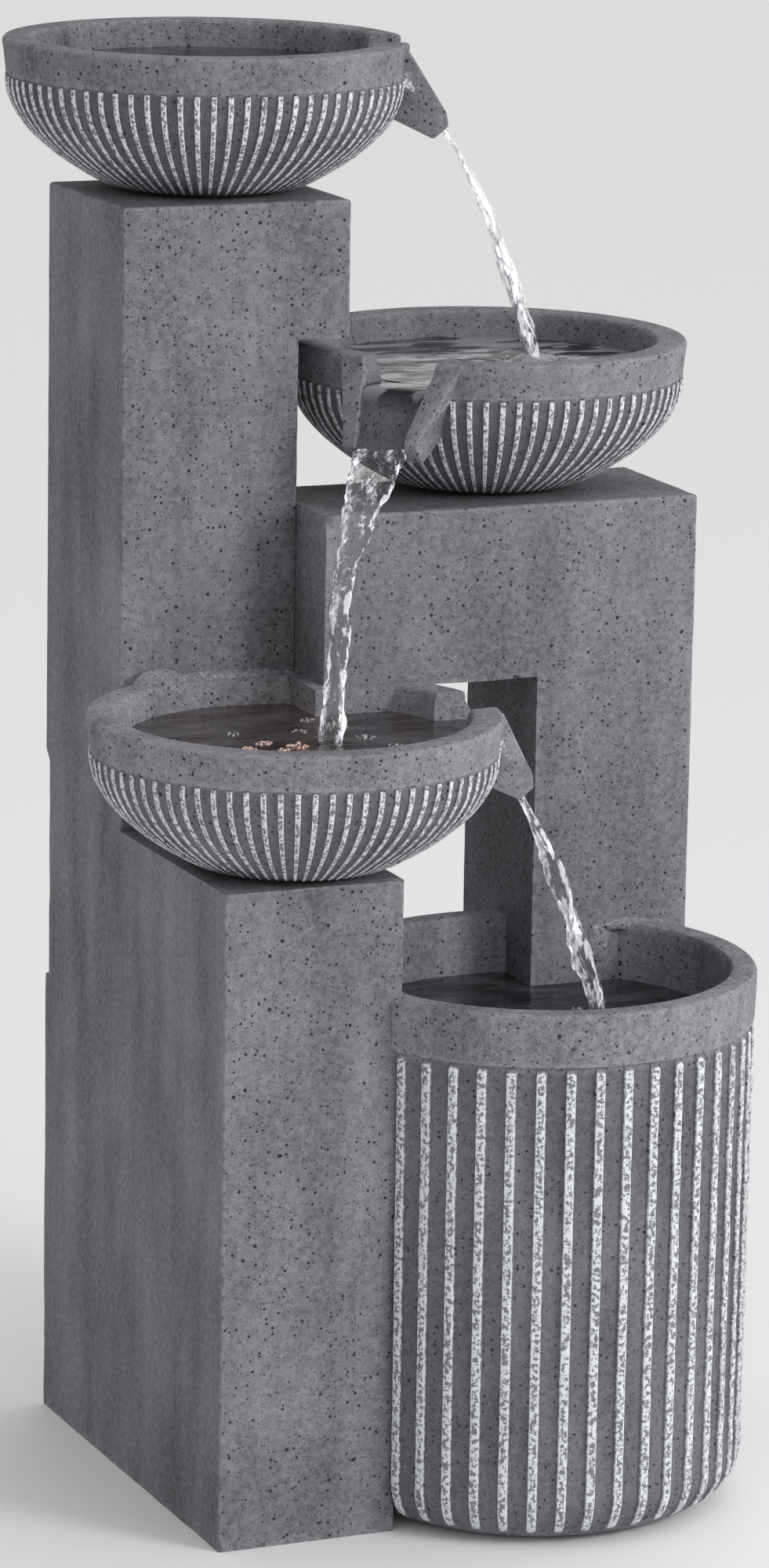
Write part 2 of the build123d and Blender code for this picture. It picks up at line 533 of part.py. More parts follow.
DIAL_R = 8.5
DIAL_GRIP = 6.0
DIAL_BACK = STRAINER_FRONT - 0.3
DIAL_FRONT = DIAL_BACK - DIAL_GRIP
CLIP_FRONT = STRAINER_FRONT + STRAINER_WALL + 3
CLIP_BACK = CLIP_FRONT + 2
FLUTE_R = 1.7
MARK_HALF = 0.8           # pointer groove on the dial's face
with BuildPart() as flow_dial:
    cylinder_y(DIAL_R, DIAL_FRONT, DIAL_BACK)
    cylinder_y(STEM_R, DIAL_BACK - 1, CLIP_FRONT)
    cylinder_y(DIAL_R - 0.5, CLIP_FRONT, CLIP_BACK)
    with BuildSketch(Plane.XZ.offset(-DIAL_FRONT)):
        with Locations((PUMP_X, PUMP_Z)):
            with PolarLocations(DIAL_R + 1.1, 12):
                Circle(FLUTE_R)
    extrude(amount=-DIAL_GRIP, mode=Mode.SUBTRACT)
    box_between(
        (PUMP_X - MARK_HALF, DIAL_FRONT - 1, PUMP_Z + 1),
        (PUMP_X + MARK_HALF, DIAL_FRONT + 1, PUMP_Z + DIAL_R), mode=Mode.SUBTRACT)
save(flow_dial.part, "flow_dial")

BLADE_FRONT = PUMP_Y - 10
BLADE_COUNT = 6
BLADE_MID_R = 9.5
BLADE_LENGTH = 11.0
BLADE_THICK = 1.4
BLADE_DEPTH = 8.0
HUB_R = 4.5
DISC_THICK = 3.0
ROTOR_FRONT = PUMP_Y + 1
ROTOR_BACK = PUMP_Y + 32
ROTOR_R = 10.5
ROTOR_BORE_R = SHAFT_R + 0.06
WELL_END = PUMP_Y + WELL_DEPTH
SHAFT_FRONT = SPIDER_Y + 2
SHAFT_BACK = WELL_END - 0.5
with BuildPart() as pump_impeller:
    cylinder_y(HUB_R, BLADE_FRONT, ROTOR_FRONT)
    cylinder_y(BLADE_MID_R, ROTOR_FRONT - DISC_THICK, ROTOR_FRONT)
    with on_axis(BLADE_FRONT):
        with PolarLocations(BLADE_MID_R, BLADE_COUNT):
            Box(BLADE_LENGTH, BLADE_THICK, BLADE_DEPTH,
                align=(Align.CENTER, Align.CENTER, Align.MIN))
    cylinder_y(ROTOR_BORE_R, BLADE_FRONT, ROTOR_FRONT, Mode.SUBTRACT)
save(pump_impeller.part, "pump_impeller")

with BuildPart() as rotor_magnet:
    cylinder_y(ROTOR_R, ROTOR_FRONT, ROTOR_BACK)
    fillet(rotor_magnet.edges().sort_by(Axis.Y)[-1], 0.8)
    cylinder_y(ROTOR_BORE_R, ROTOR_FRONT, ROTOR_BACK, Mode.SUBTRACT)
save(rotor_magnet.part, "rotor_magnet")

with BuildPart() as rotor_shaft:
    cylinder_y(SHAFT_R, SHAFT_FRONT, SHAFT_BACK)
save(rotor_shaft.part, "rotor_shaft")

with BuildPart() as shaft_bushes:
    cylinder_y(BUSH_R, SPIDER_Y + 1, SPIDER_Y + SPIDER - 0.5)
    cylinder_y(HUB_R, WELL_END - 3, WELL_END)
    cylinder_y(SHAFT_R, SHAFT_FRONT, SHAFT_BACK, Mode.SUBTRACT)
save(shaft_bushes.part, "shaft_bushes")

with BuildPart() as cover_screws:
    for x, z in SCREW_POINTS:
        with Locations(Location((x, CAP_Y, z), (-90, 0, 0))):
            Cylinder(2 * SCREW_R, SCREW_R, align=(Align.CENTER, Align.CENTER, Align.MAX))
            Cylinder(SCREW_R, VOLUTE_LENGTH + SCREW_GRIP,
                     align=(Align.CENTER, Align.CENTER, Align.MIN))
save(cover_screws.part, "cover_screws")

CUP_R = 10.0
CUP_NECK_R = 4.0
CUP_HEIGHT = PUMP_Z - HALF - BASIN_FLOOR
CUP_INSET = 12.0
CUP_X = 18.0
with BuildPart() as suction_cups:
    for x in (PUMP_X - CUP_X, PUMP_X + CUP_X):
        for y in (CAP_Y + CUP_INSET, PUMP_Y + MOTOR_LENGTH - CUP_INSET):
            with Locations(Location((x, y, BASIN_FLOOR))):
                Cone(CUP_R, CUP_NECK_R, CUP_HEIGHT - 4,
                     align=(Align.CENTER, Align.CENTER, Align.MIN))
                Cylinder(CUP_NECK_R, CUP_HEIGHT, align=(Align.CENTER, Align.CENTER, Align.MIN))
save(suction_cups.part, "suction_cups")

# ---------------------------------------------------------------- riser hose and fittings
ROOF_UNDER = COLUMN_TOP - ROOF
INLET_BARB_END = ROOF_UNDER - 46
HOSE_START = PUMP_TOP + 9
HOSE_END = ROOF_UNDER - 18
HOSE_TURN_X = -120.0
HOSE_CLIMB_Z = 430.0      # where the last climb starts, straight under the inlet
HOSE_BENDS = [48, 48, 200]
CLAMP_Z = (PUMP_TOP + 20, HOSE_END - 12)
CLAMP_WIDTH = 8.0
CLAMP_THICK = 1.5
FLANGE = 3.0              # grommet flange thickness

with BuildPart() as riser_hose:
    with BuildLine() as hose_path:
        FilletPolyline(
            (PUMP_X, HOSE_Y, HOSE_START),
            (PUMP_X, HOSE_Y, HOSE_CROSS_Z),
            (HOSE_TURN_X, HOSE_Y, HOSE_CROSS_Z),
            (TOP_BOWL[0], TOP_BOWL[1], HOSE_CLIMB_Z),
            (TOP_BOWL[0], TOP_BOWL[1], HOSE_END),
            radius=HOSE_BENDS)
    with BuildSketch(Plane.XY.offset(HOSE_START)):
        with Locations((PUMP_X, HOSE_Y)):
            Circle(HOSE_R)
            Circle(HOSE_BORE_R, mode=Mode.SUBTRACT)
    sweep()
save(riser_hose.part, "riser_hose")
hose_length = sum(edge.length for edge in hose_path.edges())
hose_area = pi * (HOSE_R ** 2 - HOSE_BORE_R ** 2)
print("hose length", round(hose_length), "volume ratio",
      round(riser_hose.part.volume / (hose_area * hose_length), 4))

with BuildPart() as hose_clamps:
    for x, y, z in ((PUMP_X, HOSE_Y, CLAMP_Z[0]), (TOP_BOWL[0], TOP_BOWL[1], CLAMP_Z[1])):
        with Locations(Location((x, y, z))):
            Cylinder(HOSE_R + CLAMP_THICK, CLAMP_WIDTH)
        with Locations(Location((x + HOSE_R + 2 * CLAMP_THICK, y, z))):
            Box(7, 5, CLAMP_WIDTH)
        with Locations(Location((x, y, z))):
            Cylinder(HOSE_R + 0.05, CLAMP_WIDTH, mode=Mode.SUBTRACT)
save(hose_clamps.part, "hose_clamps")

with BuildPart() as hose_grommet:
    with Locations(Location((TOWER_RIGHT + BASIN_SIDE, HOSE_Y, HOSE_CROSS_Z), (0, 90, 0))):
        Cylinder(HOSE_HOLE_R - 0.1, BASIN_SIDE + WALL, align=(Align.CENTER, Align.CENTER, Align.MAX))
        Cylinder(HOSE_HOLE_R + FLANGE - 0.5, FLANGE, align=(Align.CENTER, Align.CENTER, Align.MIN))
    with Locations(Location((TOWER_RIGHT - WALL, HOSE_Y, HOSE_CROSS_Z), (0, 90, 0))):
        Cylinder(HOSE_HOLE_R + FLANGE, FLANGE, align=(Align.CENTER, Align.CENTER, Align.MAX))
    with Locations(Location((TOWER_RIGHT, HOSE_Y, HOSE_CROSS_Z), (0, 90, 0))):
        Cylinder(HOSE_R + 0.1, 5 * HOSE_HOLE_R, mode=Mode.SUBTRACT)
save(hose_grommet.part, "hose_grommet")

# The inlet fitting passes through the top bowl and the column's roof.
INLET_SEAT = TOP_BOWL[2] + BOWL_FLOOR
INLET_SEAL = 2.0          # gasket under the flange
INLET_FLANGE_R = 20.0
INLET_FLANGE_Z = INLET_SEAT + INLET_SEAL
INLET_TOP = INLET_SEAT + 18
INLET_THREAD_R = INLET_HOLE_R - 0.3
INLET_BORE_R = 4.6
INLET_NUT = 8.0
INLET_PROFILE = [
    (0, INLET_BARB_END), (NOZZLE_NECK_R, INLET_BARB_END), (BARB_R, INLET_BARB_END + 6),
    (NOZZLE_NECK_R, INLET_BARB_END + 6), (BARB_R, INLET_BARB_END + 13),
    (NOZZLE_NECK_R, INLET_BARB_END + 13), (NOZZLE_NECK_R, ROOF_UNDER - 17),
    (INLET_THREAD_R, ROOF_UNDER - 17), (INLET_THREAD_R, INLET_FLANGE_Z),
    (INLET_FLANGE_R, INLET_FLANGE_Z), (INLET_FLANGE_R, INLET_FLANGE_Z + 4),
    (10, INLET_FLANGE_Z + 4), (9, INLET_TOP), (0, INLET_TOP)]
with BuildPart() as inlet_fitting:
    with BuildSketch(Plane.XZ.offset(-TOP_BOWL[1])):
        with BuildLine():
            Polyline(*[(TOP_BOWL[0] + r, z) for r, z in INLET_PROFILE], close=True)
        make_face()
    revolve(axis=Axis((TOP_BOWL[0], TOP_BOWL[1], 0), (0, 0, 1)))
    with Locations(Location((TOP_BOWL[0], TOP_BOWL[1], INLET_TOP))):
        Hole(INLET_BORE_R, depth=INLET_TOP - INLET_BARB_END)
save(inlet_fitting.part, "inlet_fitting")

with BuildPart() as inlet_gasket:
    with Locations(Location((TOP_BOWL[0], TOP_BOWL[1], INLET_SEAT))):
        Cylinder(INLET_FLANGE_R - 1, INLET_SEAL, align=(Align.CENTER, Align.CENTER, Align.MIN))
    with Locations(Location((TOP_BOWL[0], TOP_BOWL[1], INLET_FLANGE_Z))):
        Hole(INLET_THREAD_R + 0.1, depth=INLET_SEAL)
save(inlet_gasket.part, "inlet_gasket")

with BuildPart() as inlet_locknut:
    with BuildSketch(Plane.XY.offset(ROOF_UNDER - INLET_NUT)):
        with Locations(TOP_BOWL[:2]):
            RegularPolygon(INLET_FLANGE_R - 1, 6)
            Circle(INLET_THREAD_R + 0.1, mode=Mode.SUBTRACT)
    extrude(amount=INLET_NUT)
save(inlet_locknut.part, "inlet_locknut")

# ---------------------------------------------------------------- submersible light
# A small lamp lies on the lower bowl's floor, its lead going down through a gland.
LIGHT_X, LIGHT_Y = LOWER_BOWL[0], LOWER_BOWL[1] + 33
LIGHT_Z = LOWER_BOWL[2] + BOWL_FLOOR
LIGHT_R = 18.0
LIGHT_HEIGHT = 16.0
LIGHT_WALL = 4.0
LIGHT_FLOOR = LIGHT_Z + 3
BOARD = 1.6
DIODE = 3.5
LENS = 4.0
with BuildPart() as light_housing:
    with Locations(Location((LIGHT_X, LIGHT_Y, LIGHT_Z))):
        Cylinder(LIGHT_R, LIGHT_HEIGHT, align=(Align.CENTER, Align.CENTER, Align.MIN))
        fillet(light_housing.edges().sort_by(Axis.Z)[0], 3)
        fillet(light_housing.edges().sort_by(Axis.Z)[-1], 1.5)
    with Locations(Location((LIGHT_X, LIGHT_Y, LIGHT_FLOOR))):
        Cylinder(LIGHT_R - LIGHT_WALL, LIGHT_HEIGHT,
                 align=(Align.CENTER, Align.CENTER, Align.MIN), mode=Mode.SUBTRACT)
save(light_housing.part, "light_housing")

with BuildPart() as light_board:
    with Locations(Location((LIGHT_X, LIGHT_Y, LIGHT_FLOOR))):
        Cylinder(LIGHT_R - LIGHT_WALL - 0.2, BOARD,
                 align=(Align.CENTER, Align.CENTER, Align.MIN))
    with Locations(Location((LIGHT_X, LIGHT_Y, LIGHT_FLOOR + BOARD))):
        with PolarLocations(2 * DIODE, 6):
            Box(DIODE, DIODE, BOARD, align=(Align.CENTER, Align.CENTER, Align.MIN))
save(light_board.part, "light_board")

with BuildPart() as light_lens:
    with Locations(Location((LIGHT_X, LIGHT_Y, LIGHT_Z + LIGHT_HEIGHT - LENS))):
        Cylinder(LIGHT_R - LIGHT_WALL - 0.1, LENS,
                 align=(Align.CENTER, Align.CENTER, Align.MIN))
    fillet(light_lens.edges().sort_by(Axis.Z)[-1], 1.5)
save(light_lens.part, "light_lens")

GLAND_FLANGE = 5.0
GLAND_TAIL = 12.0         # thread left below the roof
GLAND_CONE = 14.0
GLAND_BORE_R = 2.5
GLAND_NUT = 6.0
GLAND_LOW = BLOCK_TOP - ROOF - GLAND_TAIL
with BuildPart() as light_gland:
    with Locations(Location((LOWER_BOWL[0], LOWER_BOWL[1], GLAND_LOW))):
        Cylinder(GLAND_HOLE_R - 0.2, LIGHT_Z + GLAND_FLANGE - GLAND_LOW,
                 align=(Align.CENTER, Align.CENTER, Align.MIN))
    with Locations(Location((LOWER_BOWL[0], LOWER_BOWL[1], LIGHT_Z))):
        Cylinder(12, GLAND_FLANGE, align=(Align.CENTER, Align.CENTER, Align.MIN))
        Cone(8, 5, GLAND_CONE, align=(Align.CENTER, Align.CENTER, Align.MIN))
    with Locations(Location((LOWER_BOWL[0], LOWER_BOWL[1], LIGHT_Z + GLAND_CONE))):
        Hole(GLAND_BORE_R, depth=LIGHT_Z + GLAND_CONE - GLAND_LOW)
save(light_gland.part, "light_gland")

with BuildPart() as gland_locknut:
    with BuildSketch(Plane.XY.offset(BLOCK_TOP - ROOF - GLAND_NUT)):
        with Locations(LOWER_BOWL[:2]):
            RegularPolygon(13, 6)
            Circle(GLAND_HOLE_R, mode=Mode.SUBTRACT)
    extrude(amount=GLAND_NUT)
save(gland_locknut.part, "gland_locknut")

# ---------------------------------------------------------------- cable grommet and drain plug
PLUG_LENGTH = 22.0
PLUG_HEAD = 4.0
PLUG_Y = DRAIN_Y + DRAIN_BOSS
with BuildPart() as cable_grommet:
    with Locations(Location((DOOR_X, COLUMN_BACK, CABLE_Z), (-90, 0, 0))):
        Cylinder(CABLE_HOLE_R - 0.1, BACK_WALL, align=(Align.CENTER, Align.CENTER, Align.MAX))
        Cylinder(CABLE_HOLE_R + 4, FLANGE, align=(Align.CENTER, Align.CENTER, Align.MIN))
    with Locations(Location((DOOR_X, COLUMN_BACK - BACK_WALL, CABLE_Z), (-90, 0, 0))):
        Cylinder(CABLE_HOLE_R + 2, FLANGE - 1, align=(Align.CENTER, Align.CENTER, Align.MAX))
    with Locations(Location((DOOR_X, COLUMN_BACK + FLANGE, CABLE_Z), (-90, 0, 0))):
        Hole(CABLE_BORE_R, depth=BACK_WALL + 2 * FLANGE - 1)
save(cable_grommet.part, "cable_grommet")

with BuildPart() as drain_plug:
    with Locations(Location((DRAIN_X, PLUG_Y, DRAIN_Z), (-90, 0, 0))):
        Cylinder(DRAIN_R - 0.3, PLUG_LENGTH, align=(Align.CENTER, Align.CENTER, Align.MAX))
        Cylinder(13, PLUG_HEAD, align=(Align.CENTER, Align.CENTER, Align.MIN))
    with Locations(Location((DRAIN_X, PLUG_Y + 2 * PLUG_HEAD, DRAIN_Z))):
        Box(4, 9, 16)
    fillet(drain_plug.faces().sort_by(Axis.Y)[-1].edges(), 1)
save(drain_plug.part, "drain_plug")
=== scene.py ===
# %% [markdown]
# # A cascading bowl fountain
# The real object is cast stone: two square pillars and an arch carry three ribbed bowls, which pour
# into one another and at last into a round tub. The hollow castings, the pump and the fittings come
# from the CAD model. This lesson adds what the CAD model leaves plain: ribs, rough faces and water.

# %% Load the frame
import json
import math
import random

import bmesh
import bpy
from mathutils import Matrix, Vector, noise


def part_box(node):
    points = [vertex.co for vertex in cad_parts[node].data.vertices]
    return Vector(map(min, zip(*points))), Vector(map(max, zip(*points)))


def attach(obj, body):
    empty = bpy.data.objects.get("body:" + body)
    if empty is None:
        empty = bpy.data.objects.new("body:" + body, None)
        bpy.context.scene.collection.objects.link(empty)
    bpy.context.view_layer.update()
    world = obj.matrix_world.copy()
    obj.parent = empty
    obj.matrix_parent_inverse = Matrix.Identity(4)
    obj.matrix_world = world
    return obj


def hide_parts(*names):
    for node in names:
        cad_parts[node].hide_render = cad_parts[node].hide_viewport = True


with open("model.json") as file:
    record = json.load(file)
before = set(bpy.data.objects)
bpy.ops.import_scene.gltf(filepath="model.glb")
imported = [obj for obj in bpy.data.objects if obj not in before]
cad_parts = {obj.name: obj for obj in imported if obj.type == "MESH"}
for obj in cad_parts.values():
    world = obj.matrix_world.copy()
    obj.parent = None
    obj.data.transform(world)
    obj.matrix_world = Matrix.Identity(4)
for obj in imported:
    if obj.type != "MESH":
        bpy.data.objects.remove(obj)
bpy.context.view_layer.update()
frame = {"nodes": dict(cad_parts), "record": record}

# %% [markdown]
# ## Sizes taken from the frame
# Every place comes from a CAD node. The water inlet stands on the top bowl's axis and the lamp's
# gland on the lower bowl's, and the middle bowl's axis is the middle of its stated hollow.

# %% Places and sizes
MM = 0.001


def middle(low, high):
    """The point half way between two corners."""
    return (Vector(low) + Vector(high)) / 2


openings = {row["name"]: row["box_m"] for row in frame["record"]["physics"]["openings"]}
top_axis = middle(*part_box("inlet_fitting"))
lower_axis = middle(*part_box("light_gland"))
middle_axis = middle(*openings["middle_bowl_hollow"])

BOWL_HEIGHT = 105 * MM
BAND = 26 * MM              # smooth band under a bowl's rim
BOWL_RIBS = 76
RIB_RISE = 2.1 * MM

BOWLS = {
    "top_bowl": (top_axis, -17),
    "middle_bowl": (middle_axis, 220),
    "lower_bowl": (lower_axis, 0),
}


def bowl_place(node):
    """The matrix that sets a bowl, drawn about the origin with its spout along +X, in its place."""
    axis, turn = BOWLS[node]
    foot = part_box(node)[0].z
    return Matrix.Translation((axis.x, axis.y, foot)) @ Matrix.Rotation(math.radians(turn), 4, "Z")


basin_low, basin_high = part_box("catch_basin")
BASIN_R = 156 * MM
BASIN_HEIGHT = basin_high.z
BASIN_BAND = 39 * MM
BASIN_RIBS = 46
basin_axis = Vector((basin_high.x - BASIN_R, basin_low.y + BASIN_R, 0))

tower_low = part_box("column_tower")[0]
arch_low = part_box("arch_wall")[0]
TOWER_RIGHT = arch_low.x
LEG_INSET = 12 * MM          # from the leg's left face to its hollow
LEG_LEFT = openings["leg_hollow"][0][0] - LEG_INSET
print("bowl axes", top_axis.xy, middle_axis.xy, lower_axis.xy, "basin axis", basin_axis.xy)

# %% [markdown]
# ## A small language for materials
# Shader nodes are quicker to read as sums than as a drawing of wires. `Value` wraps one socket, so
# that `1 - mask` or `a * 0.5 + b` adds the Math nodes by itself. `Finish` is one material, and its
# `node` method makes every other node from its type, its settings and its sockets.


# %% Values and finishes
SPECK_EDGE = 0.3            # soft edge of a spot, as a part of its size


class Value:
    """One shader socket that Python can do sums with."""

    def __init__(self, finish, socket):
        self.finish = finish
        self.socket = socket

    def __add__(self, other):
        return self.finish.sum_of("ADD", self, other)

    __radd__ = __add__

    def __sub__(self, other):
        return self.finish.sum_of("SUBTRACT", self, other)

    def __rsub__(self, other):
        return self.finish.sum_of("SUBTRACT", other, self)

    def __mul__(self, other):
        return self.finish.sum_of("MULTIPLY", self, other)

    __rmul__ = __mul__


class Finish:
    """One material: its surface shader, and the nodes that colour it."""

    def __init__(self, name, **constants):
        self.material = bpy.data.materials.new(name)
        self.material.use_nodes = True
        self.tree = self.material.node_tree
        self.shader = self.tree.nodes["Principled BSDF"]
        for socket, value in constants.items():
            self.shader.inputs[socket.replace("_", " ")].default_value = value

    def node(self, kind, settings, sockets, output=0):
        """Add a node: settings first, then a value or a link for each named socket."""
        made = self.tree.nodes.new(kind)
        for name, value in settings.items():
            setattr(made, name, value)
        for name, value in sockets.items():
            self.feed(made.inputs[name], value)
        return Value(self, made.outputs[output])

    def feed(self, socket, value):
        """Link a Value to a socket, or set the socket's constant."""
        if isinstance(value, Value):
            self.tree.links.new(value.socket, socket)
        elif socket.type == "RGBA" and len(value) == 3:
            socket.default_value = (*value, 1)
        else:
            socket.default_value = value

    def sum_of(self, operation, first, second):
        """One Math node."""
        return self.node("ShaderNodeMath", {"operation": operation}, {0: first, 1: second})

    def place(self, stretch=(1, 1, 1)):
        """Object coordinates, squeezed by stretch so that a pattern runs long on some axes."""
        coordinates = self.node("ShaderNodeTexCoord", {}, {}, output="Object")
        return self.node("ShaderNodeMapping", {}, {"Vector": coordinates, "Scale": stretch})

    def noise(self, scale, detail=3, rough=0.55, stretch=(1, 1, 1)):
        """Cloudy noise from 0 to 1; scale is in patches per metre."""
        sockets = {"Vector": self.place(stretch), "Scale": scale, "Detail": detail, "Roughness": rough}
        return self.node("ShaderNodeTexNoise", {}, sockets)

    def between(self, value, low, high, out_low=0, out_high=1):
        """Stretch a value from one range to another, held at both ends."""
        sockets = {"Value": value, "From Min": low, "From Max": high,
                   "To Min": out_low, "To Max": out_high}
        return self.node("ShaderNodeMapRange", {"clamp": True}, sockets)

    def mix(self, factor, first, second):
        """Blend two colours."""
        sockets = {0: factor, 6: first, 7: second}
        return self.node("ShaderNodeMix", {"data_type": "RGBA"}, sockets, output=2)

    def attribute(self, name):
        """A number stored on the piece's own points."""
        return self.node("ShaderNodeAttribute", {"attribute_name": name}, {}, output="Fac")

    def specks(self, scale, size, share):
        """Round spots: scale cells per metre, size as a part of a cell, share of the cells used."""
        settings = {"feature": "F1", "distance": "EUCLIDEAN"}
        sockets = {"Vector": self.place(), "Scale": scale, "Randomness": 1.0}
        distance = self.node("ShaderNodeTexVoronoi", settings, sockets, output="Distance")
        colour = Value(self, distance.socket.node.outputs["Color"])
        lot = self.node("ShaderNodeSeparateColor", {}, {"Color": colour})
        radius = self.between(lot, 1 - share, 1, 0, size)
        return self.between(radius - distance, 0, size * SPECK_EDGE)

    def bump(self, height, depth):
        """Turn a height from 0 to 1 into a normal; depth is in metres."""
        self.feed(self.shader.inputs["Normal"], self.node(
            "ShaderNodeBump", {}, {"Strength": 1.0, "Distance": depth, "Height": height}))

    def paint(self, **sockets):
        """Feed the surface shader's own sockets."""
        for name, value in sockets.items():
            self.feed(self.shader.inputs[name.replace("_", " ")], value)


print("a finish starts from the", bpy.app.version_string, "surface shader")

# %% [markdown]
# ## Cast stone
# The castings are charcoal grey with a violet tinge. Air left black pinholes of about a millimetre,
# the mould left broad cloudy stains that run downwards, and the colour coat has fine pale grain.
# Ribs were rubbed with pale paint, which took only on the crests, so ribbed pieces carry a `crest`
# number on their points, and the paint breaks up where the crest is rough.

# %% Stone finishes
DARK_PIT = (0.012, 0.011, 0.013)
TINT = (1.0, 0.985, 1.09)   # a touch of violet
DARK_PART = 0.40            # darkest and lightest stains, as parts of the mean shade
LIGHT_PART = 1.75
BLOCK_SHADE = 0.165
BOWL_SHADE = 0.165
# painted light: the lower bowl and the tub get lighter copies of the same coat, standing for the
# stronger light that falls on them
LOWER_BOWL_LIT_SHADE = 0.205
BASIN_LIT_SHADE = 0.222


def stone_coat(name, shade):
    """The grey coat shared by all castings. Returns the finish, its colour and its height."""
    stone = Finish(name, Roughness=0.82, Specular_IOR_Level=0.32)
    cloud = stone.noise(7, detail=5)
    stain = stone.noise(26, detail=6, stretch=(1, 1, 0.22))
    mottle = stone.noise(210, detail=5, rough=0.75)
    grain = stone.noise(900, detail=2)
    level = cloud * 0.5 + stain * 0.45 + mottle * 0.75 + grain * 0.3
    dark = tuple(shade * DARK_PART * part for part in TINT)
    light = tuple(shade * LIGHT_PART * part for part in TINT)
    colour = stone.mix(stone.between(level, 0.76, 1.26), dark, light)
    dust = stone.between(stone.noise(480, detail=3, rough=0.75), 0.62, 0.74)
    colour = stone.mix(dust * 0.45, colour, (0.36, 0.36, 0.385))
    holes = stone.specks(115, 0.19, 0.6)
    pits = stone.specks(225, 0.30, 0.95)
    pricks = stone.specks(430, 0.34, 0.9)
    colour = stone.mix(pricks * 0.75, colour, DARK_PIT)
    colour = stone.mix(pits * 0.93, colour, DARK_PIT)
    colour = stone.mix(holes * 0.95, colour, DARK_PIT)
    height = mottle * 0.45 + grain * 0.2 - pits * 0.5 - pricks * 0.25 - holes * 0.7
    stone.paint(Roughness=stone.between(cloud + mottle, 0.6, 1.4, 0.72, 0.92))
    return stone, colour, height


def block_finish():
    """Plain castings: the pillars and the arch, with edges rubbed a little lighter."""
    stone, colour, height = stone_coat("cast_block_stone", BLOCK_SHADE)
    worn = stone.attribute("edge") * stone.between(stone.noise(160, detail=4), 0.42, 0.62)
    colour = stone.mix(worn * 0.45, colour, (0.34, 0.34, 0.36))
    stone.paint(Base_Color=colour)
    stone.bump(height, 0.9 * MM)
    return stone.material


def ribbed_finish(name, shade):
    """Bowls and tub: pale rubbed crests, with painted shade in the furrows beside them."""
    stone, colour, height = stone_coat(name, shade)
    crest = stone.attribute("crest")
    furrow = stone.attribute("furrow")
    # painted shade: the furrows between the ribs are darkened
    colour = stone.mix(furrow * 0.50, colour, (0.052, 0.050, 0.056))
    rough = stone.noise(260, detail=4, rough=0.7)
    paint = stone.between(crest + rough * 1.5, 1.26, 1.44)
    # painted highlight: both shoulders of each crest are kept pale, along the rib's two edges
    shoulder_highlight = stone.between(crest, 0.35, 0.75) * stone.between(crest, 0.97, 0.90)
    gaps = stone.between(stone.noise(330, detail=4, rough=0.7) - shoulder_highlight * 0.09, 0.47, 0.53)
    pale = stone.mix(gaps * 0.85, (0.74, 0.76, 0.79), (0.10, 0.10, 0.11))
    colour = stone.mix(paint * 0.96, colour, pale)
    worn = stone.attribute("edge") * stone.between(stone.noise(150, detail=4), 0.42, 0.60)
    colour = stone.mix(worn * 0.4, colour, (0.36, 0.36, 0.38))
    stone.paint(Base_Color=colour)
    stone.bump(height + rough * crest * 0.8, 1.1 * MM)
    return stone.material


block_stone = block_finish()
bowl_stone = ribbed_finish("ribbed_bowl_stone", BOWL_SHADE)
# painted light: lighter copies of the ribbed stone for the lower bowl and the tub
lit_lower_bowl_stone = ribbed_finish("ribbed_lower_bowl_stone", LOWER_BOWL_LIT_SHADE)
lit_basin_stone = ribbed_finish("ribbed_basin_stone", BASIN_LIT_SHADE)
for stone in (block_stone, bowl_stone, lit_lower_bowl_stone, lit_basin_stone):
    print(stone.name, len(stone.node_tree.nodes), "nodes")

# %% [markdown]
# ## Turning and cutting
# A casting that was turned in the mould is an outline spun about its axis. The spin's steps follow
# the ribs: each rib takes eight steps, moved together where the rib's flanks are steep. Spouts are
# added and hollows taken away as whole solids, as a pattern maker would.

# %% Mesh helpers
RIB_SECTION = [(0.0, 0.0), (0.17, 0.03), (0.30, 0.10), (0.36, 0.92), (0.46, 1.0), (0.56, 1.0),
               (0.64, 0.90), (0.70, 0.08)]


def spun(outline, steps):
    """A closed solid of revolution about Z, from an outline of (radius, height) points."""
    mesh = bmesh.new()
    points = [mesh.verts.new((r, 0, z)) for r, z in outline]
    edges = [mesh.edges.new(pair) for pair in zip(points, points[1:])]
    bmesh.ops.spin(mesh, geom=points + edges, cent=(0, 0, 0), axis=(0, 0, 1),
                   angle=2 * math.pi, steps=steps, use_merge=True)
    bmesh.ops.remove_doubles(mesh, verts=mesh.verts, dist=0.01 * MM)
    bmesh.ops.recalc_face_normals(mesh, faces=mesh.faces)
    return mesh


def follow_ribs(mesh, ribs):
    """Turn each point of a spun solid to the nearest place on the rib section."""
    pitch = 2 * math.pi / ribs
    count = len(RIB_SECTION)
    for vert in mesh.verts:
        radius = math.hypot(vert.co.x, vert.co.y)
        if radius < MM:
            continue
        place = math.atan2(vert.co.y, vert.co.x) / pitch
        step = round((place - math.floor(place)) * count) % count
        rib = math.floor(place + 0.5 / count)
        angle = (rib + RIB_SECTION[step][0]) * pitch
        vert.co.x = radius * math.cos(angle)
        vert.co.y = radius * math.sin(angle)


def as_object(mesh, name):
    """Put a bmesh into a new object at the origin."""
    data = bpy.data.meshes.new(name)
    mesh.to_mesh(data)
    mesh.free()
    made = bpy.data.objects.new(name, data)
    bpy.context.scene.collection.objects.link(made)
    return made


def carve(piece, tool, operation="DIFFERENCE"):
    """Add or take away one whole solid from another, and keep the result as plain mesh."""
    modifier = piece.modifiers.new(operation.lower(), "BOOLEAN")
    modifier.operation = operation
    modifier.solver = "EXACT"
    modifier.object = tool
    graph = bpy.context.evaluated_depsgraph_get()
    carved = bpy.data.meshes.new_from_object(piece.evaluated_get(graph))
    piece.modifiers.clear()
    piece.data = carved
    bpy.data.objects.remove(tool)


